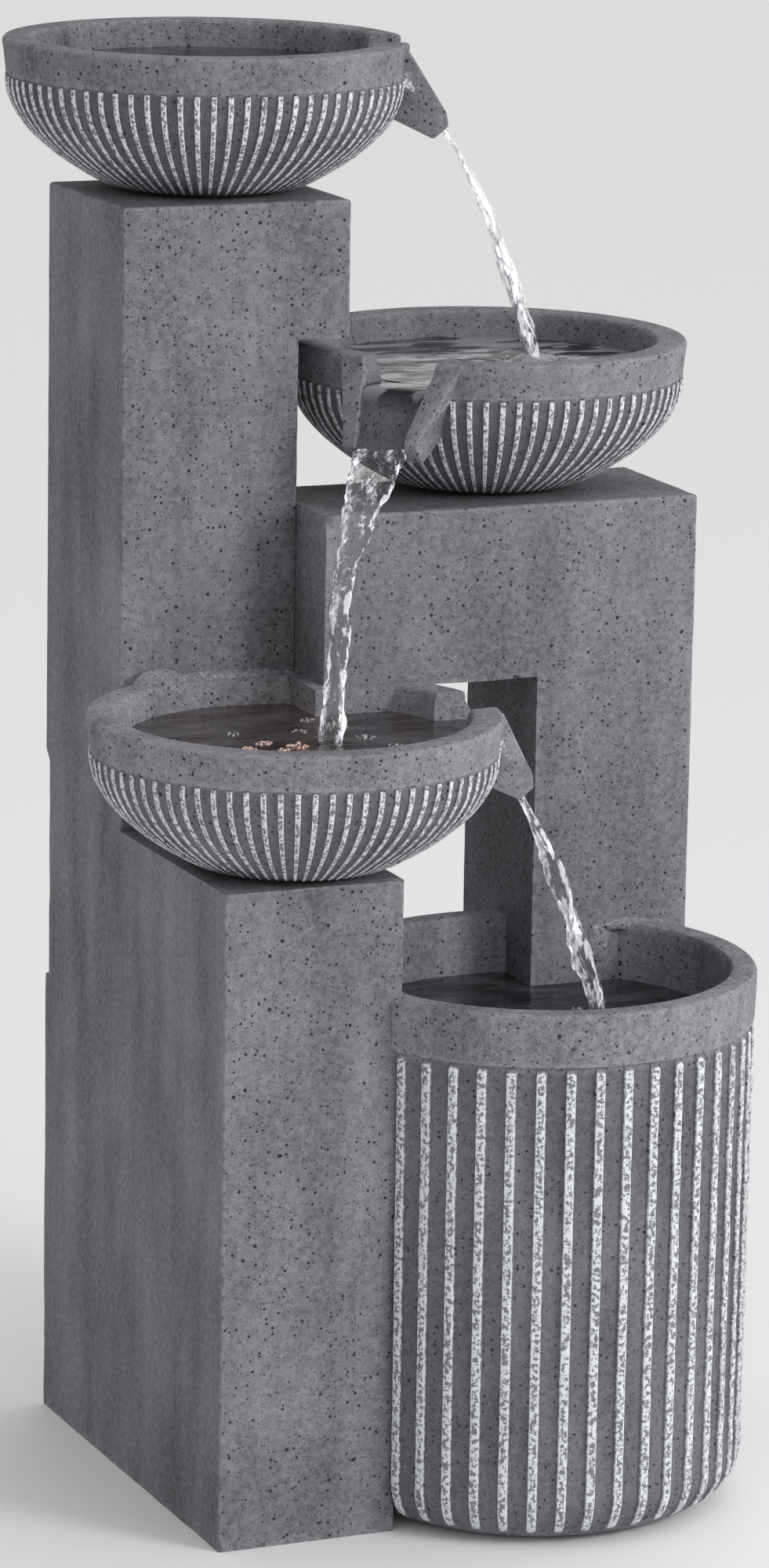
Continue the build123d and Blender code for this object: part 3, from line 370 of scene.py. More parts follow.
def block(low, high):
    """A plain box between two corners, used to cut with."""
    mesh = bmesh.new()
    bmesh.ops.create_cube(mesh, size=1)
    bmesh.ops.scale(mesh, vec=Vector(high) - Vector(low), verts=mesh.verts)
    bmesh.ops.translate(mesh, vec=middle(low, high), verts=mesh.verts)
    return as_object(mesh, "cutting_block")


def finished(piece, material, sharp=32):
    """Smooth a piece, give it its material, and let it ride on the standing body."""
    mesh = piece.data
    mesh.materials.clear()
    mesh.materials.append(material)
    for face in mesh.polygons:
        face.use_smooth = True
        face.material_index = 0
    mesh.set_sharp_from_angle(angle=math.radians(sharp))
    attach(piece, "fountain")
    print(piece.name, len(mesh.polygons), "faces")


def store(piece, name, values):
    """Keep one number per point on the piece."""
    layer = piece.data.attributes.new(name, "FLOAT", "POINT")
    layer.data.foreach_set("value", values)


print("a rib takes", len(RIB_SECTION), "steps, so a bowl takes", BOWL_RIBS * len(RIB_SECTION))


# %% [markdown]
# ## Ribs
# After the solids are joined, one pass moves every point of the outer wall out by the rib section's
# height. Each rib's height wanders a little along its length, and the whole surface is roughened
# by a fraction of a millimetre, so that no edge is a ruled line.

# %% Rib relief
ON_WALL = 1.2 * MM          # a point this near the turned wall belongs to it
RIB_START = 12 * MM         # height over which the ribs grow out of the foot
RIB_STOP = 0.6 * MM
WORN_REACH = 4 * MM         # width of the rubbed strip along an edge


def rib_height(angle, ribs):
    """Height of the rib section at an angle, from 0 in a furrow to 1 on a crest."""
    place = angle / (2 * math.pi / ribs)
    place -= math.floor(place)
    section = RIB_SECTION + [(1.0, 0.0)]
    for (left, low), (right, high) in zip(section, section[1:]):
        if place <= right + 1e-9:
            return low + (high - low) * (place - left) / (right - left)
    return 0.0


def fade(value, low, high):
    """0 below low, 1 above high, and smooth between."""
    part = min(1.0, max(0.0, (value - low) / (high - low)))
    return part * part * (3 - 2 * part)


def relief(piece, ribs, rise, zone, outer_radius, edges):
    """Raise the ribs in a height zone on the outer wall, roughen all, and store the masks for the
    crests' paint, the furrows' painted shade and the worn edges.
    """
    crest, furrow, edge = [], [], []
    low, high = zone
    for vert in piece.data.vertices:
        x, y, z = vert.co
        radius = math.hypot(x, y)
        wall = outer_radius(z) if 0 <= z <= high else None
        on_wall = wall is not None and abs(radius - wall) < ON_WALL
        height = 0.0
        ribbed = 0.0
        if on_wall:
            ribbed = fade(z, low, low + RIB_START) * (1 - fade(z, high - RIB_STOP, high))
            height = rib_height(math.atan2(y, x), ribs) * ribbed
        crest.append(height)
        # mask for the painted shade in the furrows
        furrow.append(ribbed * (1 - height))
        edge.append(max(fade(-abs(radius - r) - abs(z - h), -WORN_REACH, 0) for r, h in edges))
        rough = noise.noise(vert.co * 90) * 0.35 * MM
        rough += noise.noise(vert.co * 330) * 0.22 * MM * (height + 0.3)
        out = height * rise * (1 + 0.22 * noise.noise(vert.co * 60)) + rough
        if radius > MM and out:
            vert.co.x += x / radius * out
            vert.co.y += y / radius * out
    store(piece, "crest", crest)
    store(piece, "furrow", furrow)
    store(piece, "edge", edge)


across = [round(rib_height(2 * math.pi * step / 10, 1), 2) for step in range(10)]
print("height across one rib", across)


# %% [markdown]
# ## The bowls
# One mould made all three bowls. The wall under the band falls in a curve that steepens towards the
# foot. The spout is a wedge with two cheeks, and its channel is cut through the rim last.

# %% Bowl outline
WALL_R = 142.0 * MM         # wall just under the band
CURVE_TOP = BOWL_HEIGHT - BAND
CURVE_DEPTH = 83 * MM
CURVE_FALL = 0.572
CURVE_POWER = 2.12
FOOT_Z = 1.0 * MM


def bowl_wall(z):
    """Outer radius of a bowl's wall at a height above its foot."""
    depth = max(0.0, CURVE_TOP - z) / CURVE_DEPTH
    return WALL_R * (1 - CURVE_FALL * depth ** CURVE_POWER)


def bowl_outer():
    """The bowl's outside, from the middle of the foot to the middle of the top."""
    rows = 26
    wall = [(bowl_wall(z), z) for z in
            (FOOT_Z + (CURVE_TOP - FOOT_Z) * (1 - (1 - i / rows) ** 1.25) for i in range(rows + 1))]
    band = [(142.6, 79.2), (143.3, 80.2), (143.5, 84), (144.2, 90), (145.0, 96), (145.7, 101.5),
            (145.4, 103.4), (144.2, 104.6), (142.2, 105)]
    top = [(136, 105), (129, 104.8), (0, 104.8)]
    return [(0, 0), (52 * MM, 0)] + wall + [(r * MM, z * MM) for r, z in band + top]


def bowl_hollow():
    """The bowl's inside, up past the rim."""
    curve = []
    for i in range(13):
        turn = math.radians(90 * i / 12)
        curve.append((56 + 63 * math.sin(turn), 18 + 62 * (1 - math.cos(turn))))
    lip = [(122.4, 98), (123.2, 101.6), (124.6, 104), (126.8, 105.2), (126.8, 112), (0, 112)]
    return [(0, 18 * MM)] + [(r * MM, z * MM) for r, z in curve + lip]


print("bowl radius by height", [round(bowl_wall(z * MM) / MM) for z in (5, 25, 50, 79)], "mm")


# %% Spout solids
SPOUT_SIDE = [(108, 104.5), (138, 104.5), (170, 55), (171.5, 45), (161, 36), (129, 51), (108, 55)]
SPOUT_HALF = (49, 30)       # half widths at the rim and at the tip
SPOUT_EDGE = 1.6            # softened edges
CHANNEL_HALF = (29.5, 20)
KNEE = 55 * MM              # below this height the sides stand upright
CHANNEL_SIDE = [(95, 112), (95, 82), (148, 82), (167, 43), (176, 12), (215, 12), (215, 112)]


def wedge(side, halves, edge=0):
    """A side outline given width, wide at the rim and narrow from the knee down."""
    top_half, low_half = halves
    mesh = bmesh.new()
    corners = [mesh.verts.new((s * MM, 0, z * MM)) for s, z in side]
    face = mesh.faces.new(corners)
    sweep = bmesh.ops.extrude_face_region(mesh, geom=[face])
    far = [item for item in sweep["geom"] if isinstance(item, bmesh.types.BMVert)]
    bmesh.ops.translate(mesh, vec=(0, 1, 0), verts=far)
    bmesh.ops.bisect_plane(mesh, geom=mesh.verts[:] + mesh.edges[:] + mesh.faces[:],
                           plane_co=(0, 0, KNEE), plane_no=(0, 0, 1), dist=0.01 * MM)
    for vert in mesh.verts:
        part = max(0.0, (vert.co.z - KNEE) / (BOWL_HEIGHT - KNEE))
        half = (low_half + (top_half - low_half) * part) * MM
        vert.co.y = half if vert.co.y > 0.5 else -half
    bmesh.ops.recalc_face_normals(mesh, faces=mesh.faces)
    if edge:
        bmesh.ops.bevel(mesh, geom=mesh.edges[:], offset=edge * MM, affect="EDGES",
                        segments=2, profile=0.5, material=-1, clamp_overlap=True)
    return mesh


print("spout", 2 * SPOUT_HALF[0], "mm wide at the rim and", 2 * SPOUT_HALF[1], "mm at its tip")


# %% [markdown]
# ## Casting a bowl
# The body, the spout, the hollow and the channel are whole solids joined and cut in that order. The
# lower bowl's hollow stops short of the pillar and the arch behind it, which leaves its flat back
# wall, and the pillar and the arch then cut its outside.


# %% Make the bowls
BACK_WALL = 11 * MM
CLEARANCE = 0.2 * MM
RIM_EDGES = [(145.6 * MM, BOWL_HEIGHT), (124.4 * MM, BOWL_HEIGHT), (143.2 * MM, 79.6 * MM)]
HOLLOW_STEPS = 144
BLOCK_LENGTH = 205 * MM     # from the front block's face to the column's
FAR = 0.4                   # a cutting box reaches past the fountain's side
UNDER, OVER = -0.1, 0.6     # and past the tub's foot and rim
PAINT_REACH = 3 * MM
column_front = tower_low.y + BLOCK_LENGTH
lower_low, lower_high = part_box("lower_bowl")


def walls_behind(gap):
    """Boxes over the pillar and the arch, each grown by gap towards the lower bowl."""
    low_z = lower_low.z - 20 * MM
    high_z = lower_high.z + 50 * MM
    pillar = ((-FAR, column_front - gap, low_z), (TOWER_RIGHT + 1 * MM, FAR, high_z))
    arch = ((TOWER_RIGHT - gap, arch_low.y - gap, low_z), (FAR, FAR, high_z))
    return pillar, arch


def moved_block(corners, place):
    """A cutting box given in the frame, brought into the bowl's own drawing place."""
    tool = block(*corners)
    tool.data.transform(place.inverted())
    return tool


def unpaint(piece, boxes):
    """Take the ribs' paint and the furrows' painted shade off the flat faces that the boxes left."""
    reach = Vector((PAINT_REACH, PAINT_REACH, PAINT_REACH))
    grown = [(Vector(low) - reach, Vector(high) + reach) for low, high in boxes]
    for name in ("crest", "furrow"):
        values = piece.data.attributes[name].data
        for vert, value in zip(piece.data.vertices, values):
            for low, high in grown:
                if all(a < part < b for a, part, b in zip(low, vert.co, high)):
                    value.value = 0.0


def cast_bowl(node):
    """One bowl with its spout, in its place."""
    place = bowl_place(node)
    body = spun(bowl_outer(), BOWL_RIBS * len(RIB_SECTION))
    follow_ribs(body, BOWL_RIBS)
    bowl = as_object(body, "visual_" + node)
    carve(bowl, as_object(wedge(SPOUT_SIDE, SPOUT_HALF, SPOUT_EDGE), "spout"), "UNION")
    hollow = as_object(spun(bowl_hollow(), HOLLOW_STEPS), "hollow")
    inner_cuts = walls_behind(BACK_WALL) if node == "lower_bowl" else ()
    outer_cuts = walls_behind(CLEARANCE) if node == "lower_bowl" else ()
    for corners in inner_cuts:
        carve(hollow, moved_block(corners, place))
    carve(bowl, hollow)
    carve(bowl, as_object(wedge(CHANNEL_SIDE, CHANNEL_HALF), "channel"))
    for corners in outer_cuts:
        carve(bowl, moved_block(corners, place))
    relief(bowl, BOWL_RIBS, RIB_RISE, (-6 * MM, CURVE_TOP), bowl_wall, RIM_EDGES)
    bowl.data.transform(place)
    unpaint(bowl, outer_cuts)
    finished(bowl, lit_lower_bowl_stone if node == "lower_bowl" else bowl_stone)
    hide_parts(node)


for node in BOWLS:
    cast_bowl(node)

# %% [markdown]
# ## The tub
# The tub is a straight drum with a smooth band round its rim and a rounded foot. Its ribs are broad
# and flat, and their edges are ragged. The pillar and the arch's leg stand in its round wall, so
# both are cut out of it.

# %% Make the tub
SIDE_R = 150.3 * MM
FOOT_ROUND = 38 * MM
BAND_Z = BASIN_HEIGHT - BASIN_BAND
BASIN_RISE = 3.4 * MM
BASIN_FLOOR = 15 * MM
FLOOR_R = 125               # inside, where the floor's bend meets the wall, in millimetres
FLOOR_BEND = 18
BASIN_SIDE = 6 * MM         # wall left beside the pillar


def basin_wall(z):
    """Outer radius of the tub's wall at a height above the ground."""
    if z >= FOOT_ROUND:
        return SIDE_R + 1.2 * MM * (z - FOOT_ROUND) / (BAND_Z - FOOT_ROUND)
    drop = 1 - z / FOOT_ROUND
    return SIDE_R - FOOT_ROUND * (1 - math.sqrt(max(0.0, 1 - drop * drop)))


def basin_outer():
    """The tub's outside, from the middle of its foot to the middle of its top."""
    foot = [FOOT_ROUND * (1 - math.cos(math.radians(90 * i / 9))) for i in range(10)]
    wall_rows = 64
    wall = [FOOT_ROUND + (BAND_Z - FOOT_ROUND) * i / wall_rows for i in range(1, wall_rows + 1)]
    rows = [(basin_wall(z), z) for z in foot + wall]
    band = [(153.2, -38.6), (154.4, -37.4), (154.9, -34), (155.3, -22), (155.8, -8), (155.9, -3.5),
            (155.2, -1.3), (153.6, -0.1), (151, 0), (144, 0)]
    return [(0, 0)] + rows + [(r * MM, BASIN_HEIGHT + z * MM) for r, z in band] + [(0, BASIN_HEIGHT)]


def basin_hollow():
    """The tub's inside, up past the rim."""
    turns = [math.radians(angle) for angle in range(0, 91, 15)]
    bend = [(FLOOR_R - FLOOR_BEND * (1 - math.sin(turn)), FLOOR_BEND * (1 - math.cos(turn)))
            for turn in turns]
    lip = [(136.0, -8), (136.8, -3.2), (138.4, -0.6), (140.6, 0.4), (140.6, 8), (0, 8)]
    inside = [(r * MM, BASIN_FLOOR + z * MM) for r, z in bend]
    return [(0, BASIN_FLOOR)] + inside + [(r * MM, BASIN_HEIGHT + z * MM) for r, z in lip]


def cast_basin():
    """The tub, cut by the pillar and by the arch's leg."""
    place = Matrix.Translation(basin_axis)
    body = spun(basin_outer(), BASIN_RIBS * len(RIB_SECTION))
    follow_ribs(body, BASIN_RIBS)
    basin = as_object(body, "visual_catch_basin")
    hollow = as_object(spun(basin_hollow(), HOLLOW_STEPS), "hollow")
    wall_left = ((-FAR, -FAR, UNDER), (TOWER_RIGHT + BASIN_SIDE, FAR, OVER))
    carve(hollow, moved_block(wall_left, place))
    carve(basin, hollow)
    pillar = ((-FAR, tower_low.y - CLEARANCE, UNDER), (TOWER_RIGHT + CLEARANCE, FAR, OVER))
    leg = ((LEG_LEFT - CLEARANCE, arch_low.y - CLEARANCE, UNDER), (FAR, FAR, OVER))
    for corners in (pillar, leg):
        carve(basin, moved_block(corners, place))
    edges = [(155.6 * MM, BASIN_HEIGHT), (138 * MM, BASIN_HEIGHT), (154.2 * MM, BAND_Z + 1.5 * MM)]
    relief(basin, BASIN_RIBS, BASIN_RISE, (4 * MM, BAND_Z), basin_wall, edges)
    basin.data.transform(place)
    finished(basin, lit_basin_stone)
    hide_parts("catch_basin")


cast_basin()

# %% [markdown]
# ## The camera, the floor and the light
# The fountain is seen from the front and a little from its left, from above the top bowl, through
# a long lens. The studio is white and a little brighter to the right, and one broad soft light
# stands at the front right.

# %% Camera
EYE = Vector((-1.766, -4.090, 1.503))
BEARING = math.radians(23.38)
DIP = math.radians(12.66)
ROLL = 0.017
SENSOR = 36
FOCAL_LENGTH = 145.46
level = Vector((math.sin(BEARING), math.cos(BEARING), 0))
forward = level * math.cos(DIP) - Vector((0, 0, math.sin(DIP)))
right = Vector((math.cos(BEARING), -math.sin(BEARING), 0))
up = right.cross(forward)
turned_right = math.cos(ROLL) * right + math.sin(ROLL) * up
turned_up = math.cos(ROLL) * up - math.sin(ROLL) * right
lens = bpy.data.cameras.new("camera")
lens.sensor_width = SENSOR
lens.lens = FOCAL_LENGTH
camera = bpy.data.objects.new("camera", lens)
columns = Matrix((turned_right, turned_up, -forward)).transposed().to_4x4()
camera.matrix_world = Matrix.Translation(EYE) @ columns
bpy.context.scene.collection.objects.link(camera)
bpy.context.scene.camera = camera
print("camera at", tuple(EYE), "looking along", tuple(round(part, 3) for part in forward))

# %% Floor and light
SKY_LIGHT = 0.82            # strength of the white surround, straight ahead
SIDE_LIGHT = 0.40           # and how much brighter it is to the right
KEY_POWER = 55
FLOOR_SIZE = 14
mesh = bmesh.new()
bmesh.ops.create_grid(mesh, x_segments=1, y_segments=1, size=FLOOR_SIZE)
floor = as_object(mesh, "floor")
paper = Finish("studio_floor", Base_Color=(0.86, 0.86, 0.86, 1), Roughness=0.7)
floor.data.materials.append(paper.material)

world = bpy.data.worlds.new("studio")
world.use_nodes = True
studio = world.node_tree
sky = studio.nodes["Background"]
sky.inputs["Color"].default_value = (1, 1, 1, 1)
outward = studio.nodes.new("ShaderNodeTexCoord").outputs["Generated"]
toward_light = studio.nodes.new("ShaderNodeVectorMath")
toward_light.operation = "DOT_PRODUCT"
toward_light.inputs[1].default_value = right
brightness = studio.nodes.new("ShaderNodeMath")
brightness.operation = "MULTIPLY_ADD"
brightness.inputs[1].default_value = SIDE_LIGHT
brightness.inputs[2].default_value = SKY_LIGHT
seen = studio.nodes.new("ShaderNodeMix")
seen.inputs["B"].default_value = 1.0
path = studio.nodes.new("ShaderNodeLightPath")
studio.links.new(outward, toward_light.inputs[0])
studio.links.new(toward_light.outputs["Value"], brightness.inputs[0])
studio.links.new(path.outputs["Is Camera Ray"], seen.inputs["Factor"])
studio.links.new(brightness.outputs["Value"], seen.inputs["A"])
studio.links.new(seen.outputs["Result"], sky.inputs["Strength"])
bpy.context.scene.world = world


def soft_light(name, place, target, size, power):
    """A square studio light that looks at a target."""
    data = bpy.data.lights.new(name, "AREA")
    data.size = size
    data.energy = power
    lamp = bpy.data.objects.new(name, data)
    aim = Vector(target) - Vector(place)
    lamp.matrix_world = Matrix.Translation(place) @ aim.to_track_quat("-Z", "Y").to_matrix().to_4x4()
    bpy.context.scene.collection.objects.link(lamp)


soft_light("key_light", (2.0, -2.8, 2.0), (0, 0, 0.5), 1.1, KEY_POWER)
bpy.context.scene.view_settings.view_transform = "Standard"
print("world", world.name, "and key light of", KEY_POWER, "W")

# %% [markdown]
# ## Weathered blocks
# The pillars and the arch are plain castings, but no cast edge is straight. A copy of the CAD mesh
# is merged, freed of needless edges, sliced into a grid, and roughened. Points that lie on a bend
# get `edge`, which the finish uses to rub the arrises lighter.


# %% Make the blocks
SLICE = 11 * MM
BENT = 0.99                 # faces whose normals differ by more than this cosine make an edge
CHIP = 0.9 * MM             # most that an edge is worn back
BROAD_WAVE = 0.5 * MM
FINE_WAVE = 0.22 * MM


def weathered(node):
    """A roughened copy of a plain casting."""
    mesh = bmesh.new()
    mesh.from_mesh(frame["nodes"][node].data)
    bmesh.ops.remove_doubles(mesh, verts=mesh.verts, dist=0.01 * MM)
    bmesh.ops.dissolve_limit(mesh, angle_limit=math.radians(0.5), verts=mesh.verts, edges=mesh.edges)
    low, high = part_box(node)
    for axis in range(3):
        normal = Vector((axis == 0, axis == 1, axis == 2))
        place = low[axis] + SLICE
        while place < high[axis] - MM:
            bmesh.ops.bisect_plane(mesh, geom=mesh.verts[:] + mesh.edges[:] + mesh.faces[:],
                                   plane_co=normal * place, plane_no=normal, dist=0.02 * MM)
            place += SLICE
    bmesh.ops.triangulate(mesh, faces=[face for face in mesh.faces if len(face.verts) > 4])
    mesh.normal_update()
    edge = []
    for vert in mesh.verts:
        normals = [face.normal for face in vert.link_faces]
        edge.append(1.0 if min(a.dot(normals[0]) for a in normals) < BENT else 0.0)
    for vert, bent in zip(mesh.verts, edge):
        chip = max(0.0, noise.noise(vert.co * 70)) * CHIP * bent
        wave = noise.noise(vert.co * 11) * BROAD_WAVE + noise.noise(vert.co * 60) * FINE_WAVE
        vert.co += vert.normal * (wave * 0.8 - chip)
    piece = as_object(mesh, "visual_" + node)
    store(piece, "edge", edge)
    finished(piece, block_stone, sharp=28)
    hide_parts(node)


for node in ("column_tower", "arch_wall"):
    weathered(node)

# %% [markdown]
# ## Mortar
# After the castings were set together, joints were smeared with mortar: along the pillar behind the
# lower bowl, in that bowl's back corner, and where the tub's rim meets the arch's leg. Each smear is
# a flattened ball, pressed into its corner and roughened.


# %% Make the mortar
def smear(name, place, radii, turn=0):
    """A rough lump of mortar half sunk in a corner."""
    mesh = bmesh.new()
    bmesh.ops.create_icosphere(mesh, subdivisions=5, radius=1)
    bmesh.ops.scale(mesh, vec=Vector(radii) * MM, verts=mesh.verts)
    bmesh.ops.rotate(mesh, cent=(0, 0, 0), matrix=Matrix.Rotation(math.radians(turn), 3, "Z"),
                     verts=mesh.verts)
    bmesh.ops.translate(mesh, vec=place, verts=mesh.verts)
    mesh.normal_update()
    for vert in mesh.verts:
        lump = noise.noise(vert.co * 55) * 1.8 + noise.noise(vert.co * 160) * 0.7
        vert.co += vert.normal * lump * MM
    piece = as_object(mesh, name)
    finished(piece, mortar_stone, sharp=60)


def mortar_finish():
    """Smeared mortar: the same stone, drier and flecked with pale crumbs."""
    stone, colour, height = stone_coat("mortar_stone", 0.25)
    crumbs = stone.between(stone.noise(240, detail=5, rough=0.75), 0.50, 0.62)
    colour = stone.mix(crumbs * 0.7, colour, (0.50, 0.51, 0.54))
    stone.paint(Base_Color=colour)
    stone.bump(height + crumbs * 0.6, 1.4 * MM)
    return stone.material


mortar_stone = mortar_finish()
ledge = (tower_low.x + 72 * MM, column_front - 2 * MM, lower_high.z - 1 * MM)
corner = (tower_low.x + 26 * MM, column_front - 7 * MM, lower_high.z - 5 * MM)
leg_front = (LEG_LEFT + 78 * MM, arch_low.y - 1 * MM, BASIN_HEIGHT - 2 * MM)
leg_inside = (LEG_LEFT + 54 * MM, arch_low.y, BASIN_HEIGHT - 14 * MM)
smear("mortar_ledge", ledge, (60, 7, 6))
smear("mortar_corner", corner, (24, 10, 15), 12)
smear("mortar_leg", leg_front, (26, 5, 5), -4)
smear("mortar_leg_left", leg_inside, (9, 3, 14))

# %% [markdown]
# ## Still water
# Water stands a few millimetres above each channel's floor and about 40 mm below the tub's rim.
# Each surface is a thin closed slab, turned about the bowl's axis, with its top raised and lowered
# by rings that spread from where the stream falls in, and by a light chop.

# %% Water surfaces
WATER_DROP = 19.5 * MM       # from a bowl's rim down to its water
BASIN_WATER = BASIN_HEIGHT - 43 * MM
BOWL_WATER_R = 121 * MM
BASIN_WATER_R = 136 * MM
SLAB = 5 * MM
SLAB_RINGS = 56
SLAB_STEPS = 168
RING_LENGTH = 5.2 * MM       # the ripples' length over two pi
RING_REACH = 34 * MM         # distance in which they die down
CROWN_R = 11 * MM            # the raised ring round a landing
CROWN_WIDTH = 6 * MM
SPILL_HALF = (29.7, 20.2)
SPILL_SIDE = [(100, 83), (100, 85.3), (138, 85.2), (147, 84.4), (151.5, 80.5), (157, 69), (167, 47.5),
              (169.5, 41), (166.2, 42.6), (148, 81), (140, 81.6)]


def water_finish(name, reflection_strength):
    """Water painted dark as painted shade for the stone seen through it, with painted sky reflections
    in pale patches and threads between the ripples; the last argument sets how strong the painted
    reflection is, from 0 to 1.
    """
    water = Finish(name, Roughness=0.03, IOR=1.333, Specular_IOR_Level=0.6)
    drift = water.noise(34, detail=4, rough=0.6)
    # painted shade: dark mottled colour stands for the shaded hollow seen through the water
    depth = water.mix(water.between(drift, 0.35, 0.7), (0.014, 0.014, 0.017), (0.050, 0.050, 0.058))
    # painted reflection: pale patches and threads of sky, on the flat pool only
    patch = water.between(water.noise(30, detail=3, rough=0.5, stretch=(0.55, 1.6, 1)), 0.47, 0.53)
    reflected_thread = water.between(water.noise(75, detail=4, rough=0.7, stretch=(0.4, 1.5, 1)), 0.60, 0.66)
    pool = water.attribute("pool")
    painted_reflection = water.sum_of("MAXIMUM", patch * 0.75, reflected_thread) * pool * reflection_strength
    water.paint(Base_Color=water.mix(painted_reflection, depth, (0.33, 0.33, 0.36)))
    cover = water.between(painted_reflection, 0, 0.6, 0.82, 0.97)
    water.paint(Alpha=cover * water.between(pool, 0, 1, 0.30, 1.0))
    water.bump(water.noise(150, detail=3), 0.5 * MM)
    return water.material


# still water takes a little painted sky reflection, the middle bowl's water the full amount
still_water = water_finish("still_water", 0.16)
sky_reflecting_water = water_finish("sky_reflecting_water", 1.0)


def ripple(point, landing, strength):
    """Height of the water at a point, in metres: rings round the landing and a light chop."""
    distance = math.hypot(point.x - landing[0], point.y - landing[1])
    rings = math.sin(distance / RING_LENGTH + 2.2 * noise.noise(point * 30))
    rings *= math.exp(-distance / RING_REACH) * min(1.0, distance / (8 * MM))
    crown = math.exp(-((distance - CROWN_R) / CROWN_WIDTH) ** 2)
    crown *= 1.2 + 2.5 * noise.noise(point * 130)
    chop = noise.noise(Vector((point.x * 38, point.y * 75, 0.3))) * 0.55
    chop += noise.noise(point * 85) * 0.25
    return (rings * 1.3 + crown * 1.1 + chop * 1.2) * strength * MM


def water_slab(name, axis, level, radius, landing, strength, cutters=()):
    """A thin turned slab of water with a rippled top."""
    outline = [(0, level - SLAB), (radius, level - SLAB)]
    outline += [(radius * (1 - i / SLAB_RINGS), level) for i in range(SLAB_RINGS + 1)]
    slab = spun(outline, SLAB_STEPS)
    bmesh.ops.translate(slab, vec=(axis.x, axis.y, 0), verts=slab.verts)
    for vert in slab.verts:
        if vert.co.z > level - SLAB / 2:
            vert.co.z += ripple(vert.co, landing, strength)
    piece = as_object(slab, name)
    for corners in cutters:
        carve(piece, block(*corners))
    return piece


def add_spill(piece, node):
    """The sheet of water that runs down a spout's channel, joined to the bowl's water."""
    sheet = wedge(SPILL_SIDE, SPILL_HALF)
    bmesh.ops.transform(sheet, matrix=bowl_place(node), verts=sheet.verts)
    carve(piece, as_object(sheet, "sheet"), "UNION")


print("tub water stands at", round(BASIN_WATER / MM), "mm")


# %% Where the streams leave and land
LIP_X = 167 * MM             # the channel's lip in the bowl's own drawing place
LIP_Z = 44 * MM


class Fall:
    """One falling stream: where it leaves its spout, where it lands and how it is shaped."""

    def __init__(self, node, aside, landing, steep, widths, pull):
        turn = math.radians(BOWLS[node][1])
        self.start = bowl_place(node) @ Vector((LIP_X, aside * MM, LIP_Z))
        self.landing = Vector(landing)
        self.side = Vector((-math.sin(turn), math.cos(turn), 0))
        self.steep = steep
        self.widths = widths
        self.pull = pull

    def width(self, part):
        """Width in metres at a part of the fall, between the listed widths."""
        place = part * (len(self.widths) - 1)
        index = min(int(place), len(self.widths) - 2)
        low, high = self.widths[index], self.widths[index + 1]
        return (low + (high - low) * fade(place - index, 0, 1)) * MM

    def point(self, part):
        """Middle of the stream at a part of the fall."""
        middle_line = self.start.lerp(self.landing, part)
        drop = self.steep * part + (1 - self.steep) * part * part
        middle_line.z = self.start.z + (self.landing.z - self.start.z) * drop
        narrowed = (self.width(0) - self.width(part)) / 2
        ease = 1 - fade(part, 0.5, 1.0)
        return middle_line + self.side * self.pull * narrowed * ease


def bowl_level(node):
    """Height of the water in a bowl."""
    return bowl_place(node).translation.z + BOWL_HEIGHT - WATER_DROP


top_landing = (middle_axis.x + 40 * MM, middle_axis.y + 4 * MM, bowl_level("middle_bowl"))
middle_landing = (lower_axis.x + 20 * MM, lower_axis.y - 18 * MM, bowl_level("lower_bowl"))
lower_landing = (basin_axis.x + 54 * MM, basin_axis.y + 14 * MM, BASIN_WATER)
falls = {
    "stream_top": Fall("top_bowl", 8, top_landing, 0.50, [15, 13, 17, 21, 20, 17], 0),
    "stream_middle": Fall("middle_bowl", 0, middle_landing, 0.62, [40, 34, 25, 18, 15, 14, 14], -0.8),
    "stream_lower": Fall("lower_bowl", 3, lower_landing, 0.60, [19, 15, 17, 21, 20, 19], 0),
}
for name, fall in falls.items():
    print(name, "falls", round((fall.start.z - fall.landing.z) / MM), "mm")

# %% Pour the water
POOL_DEEP, POOL_SHALLOW = 9 * MM, 3 * MM      # between these depths pool water becomes a thin sheet


def pour(name, axis, level, radius, landing, strength, finish, node=None, cutters=()):
    """One pool, with the sheet over its spout if it has one."""
    piece = water_slab(name, axis, level, radius, landing, strength, cutters)
    if node:
        add_spill(piece, node)
    depth = [fade(vert.co.z, level - POOL_DEEP, level - POOL_SHALLOW) for vert in piece.data.vertices]
    store(piece, "pool", depth)
    finished(piece, finish, sharp=50)


back_walls = walls_behind(BACK_WALL - 1.5 * MM)
left_wall = ((-FAR, -FAR, UNDER), (TOWER_RIGHT + 5 * MM, FAR, OVER))
leg_wall = ((LEG_LEFT + 1 * MM, arch_low.y + 1 * MM, UNDER), (FAR, FAR, OVER))
pour("water_top", top_axis, bowl_level("top_bowl"), BOWL_WATER_R, top_axis.xy, 0.35,
     still_water, "top_bowl")
pour("water_middle", middle_axis, bowl_level("middle_bowl"), BOWL_WATER_R, top_landing, 1.0,
     sky_reflecting_water, "middle_bowl")
pour("water_lower", lower_axis, bowl_level("lower_bowl"), BOWL_WATER_R, middle_landing, 0.75,
     still_water, "lower_bowl", back_walls)
pour("water_basin", basin_axis, BASIN_WATER, BASIN_WATER_R, lower_landing, 0.8,
     still_water, cutters=(left_wall, leg_wall))

# %% [markdown]
# ## Falling water
# A stream leaves the spout as a flat sheet, is drawn together by its own skin, and breaks into
# twisting ropes as it falls. Each is a drum cut into rings, whose points are moved onto the fall's
# curve, flattened, and roughened more and more. It is clear, so its edges and white glints show it;
# the glints along its edges and streaks are painted highlights, which also glow.


# %% Streams
RING = 28
STATIONS = 90
STEP = 0.01                  # how far ahead and behind a fall's direction is read
THIN = 2.0 * MM              # half thickness of the sheet at the lip
THICKEN = 3.4 * MM


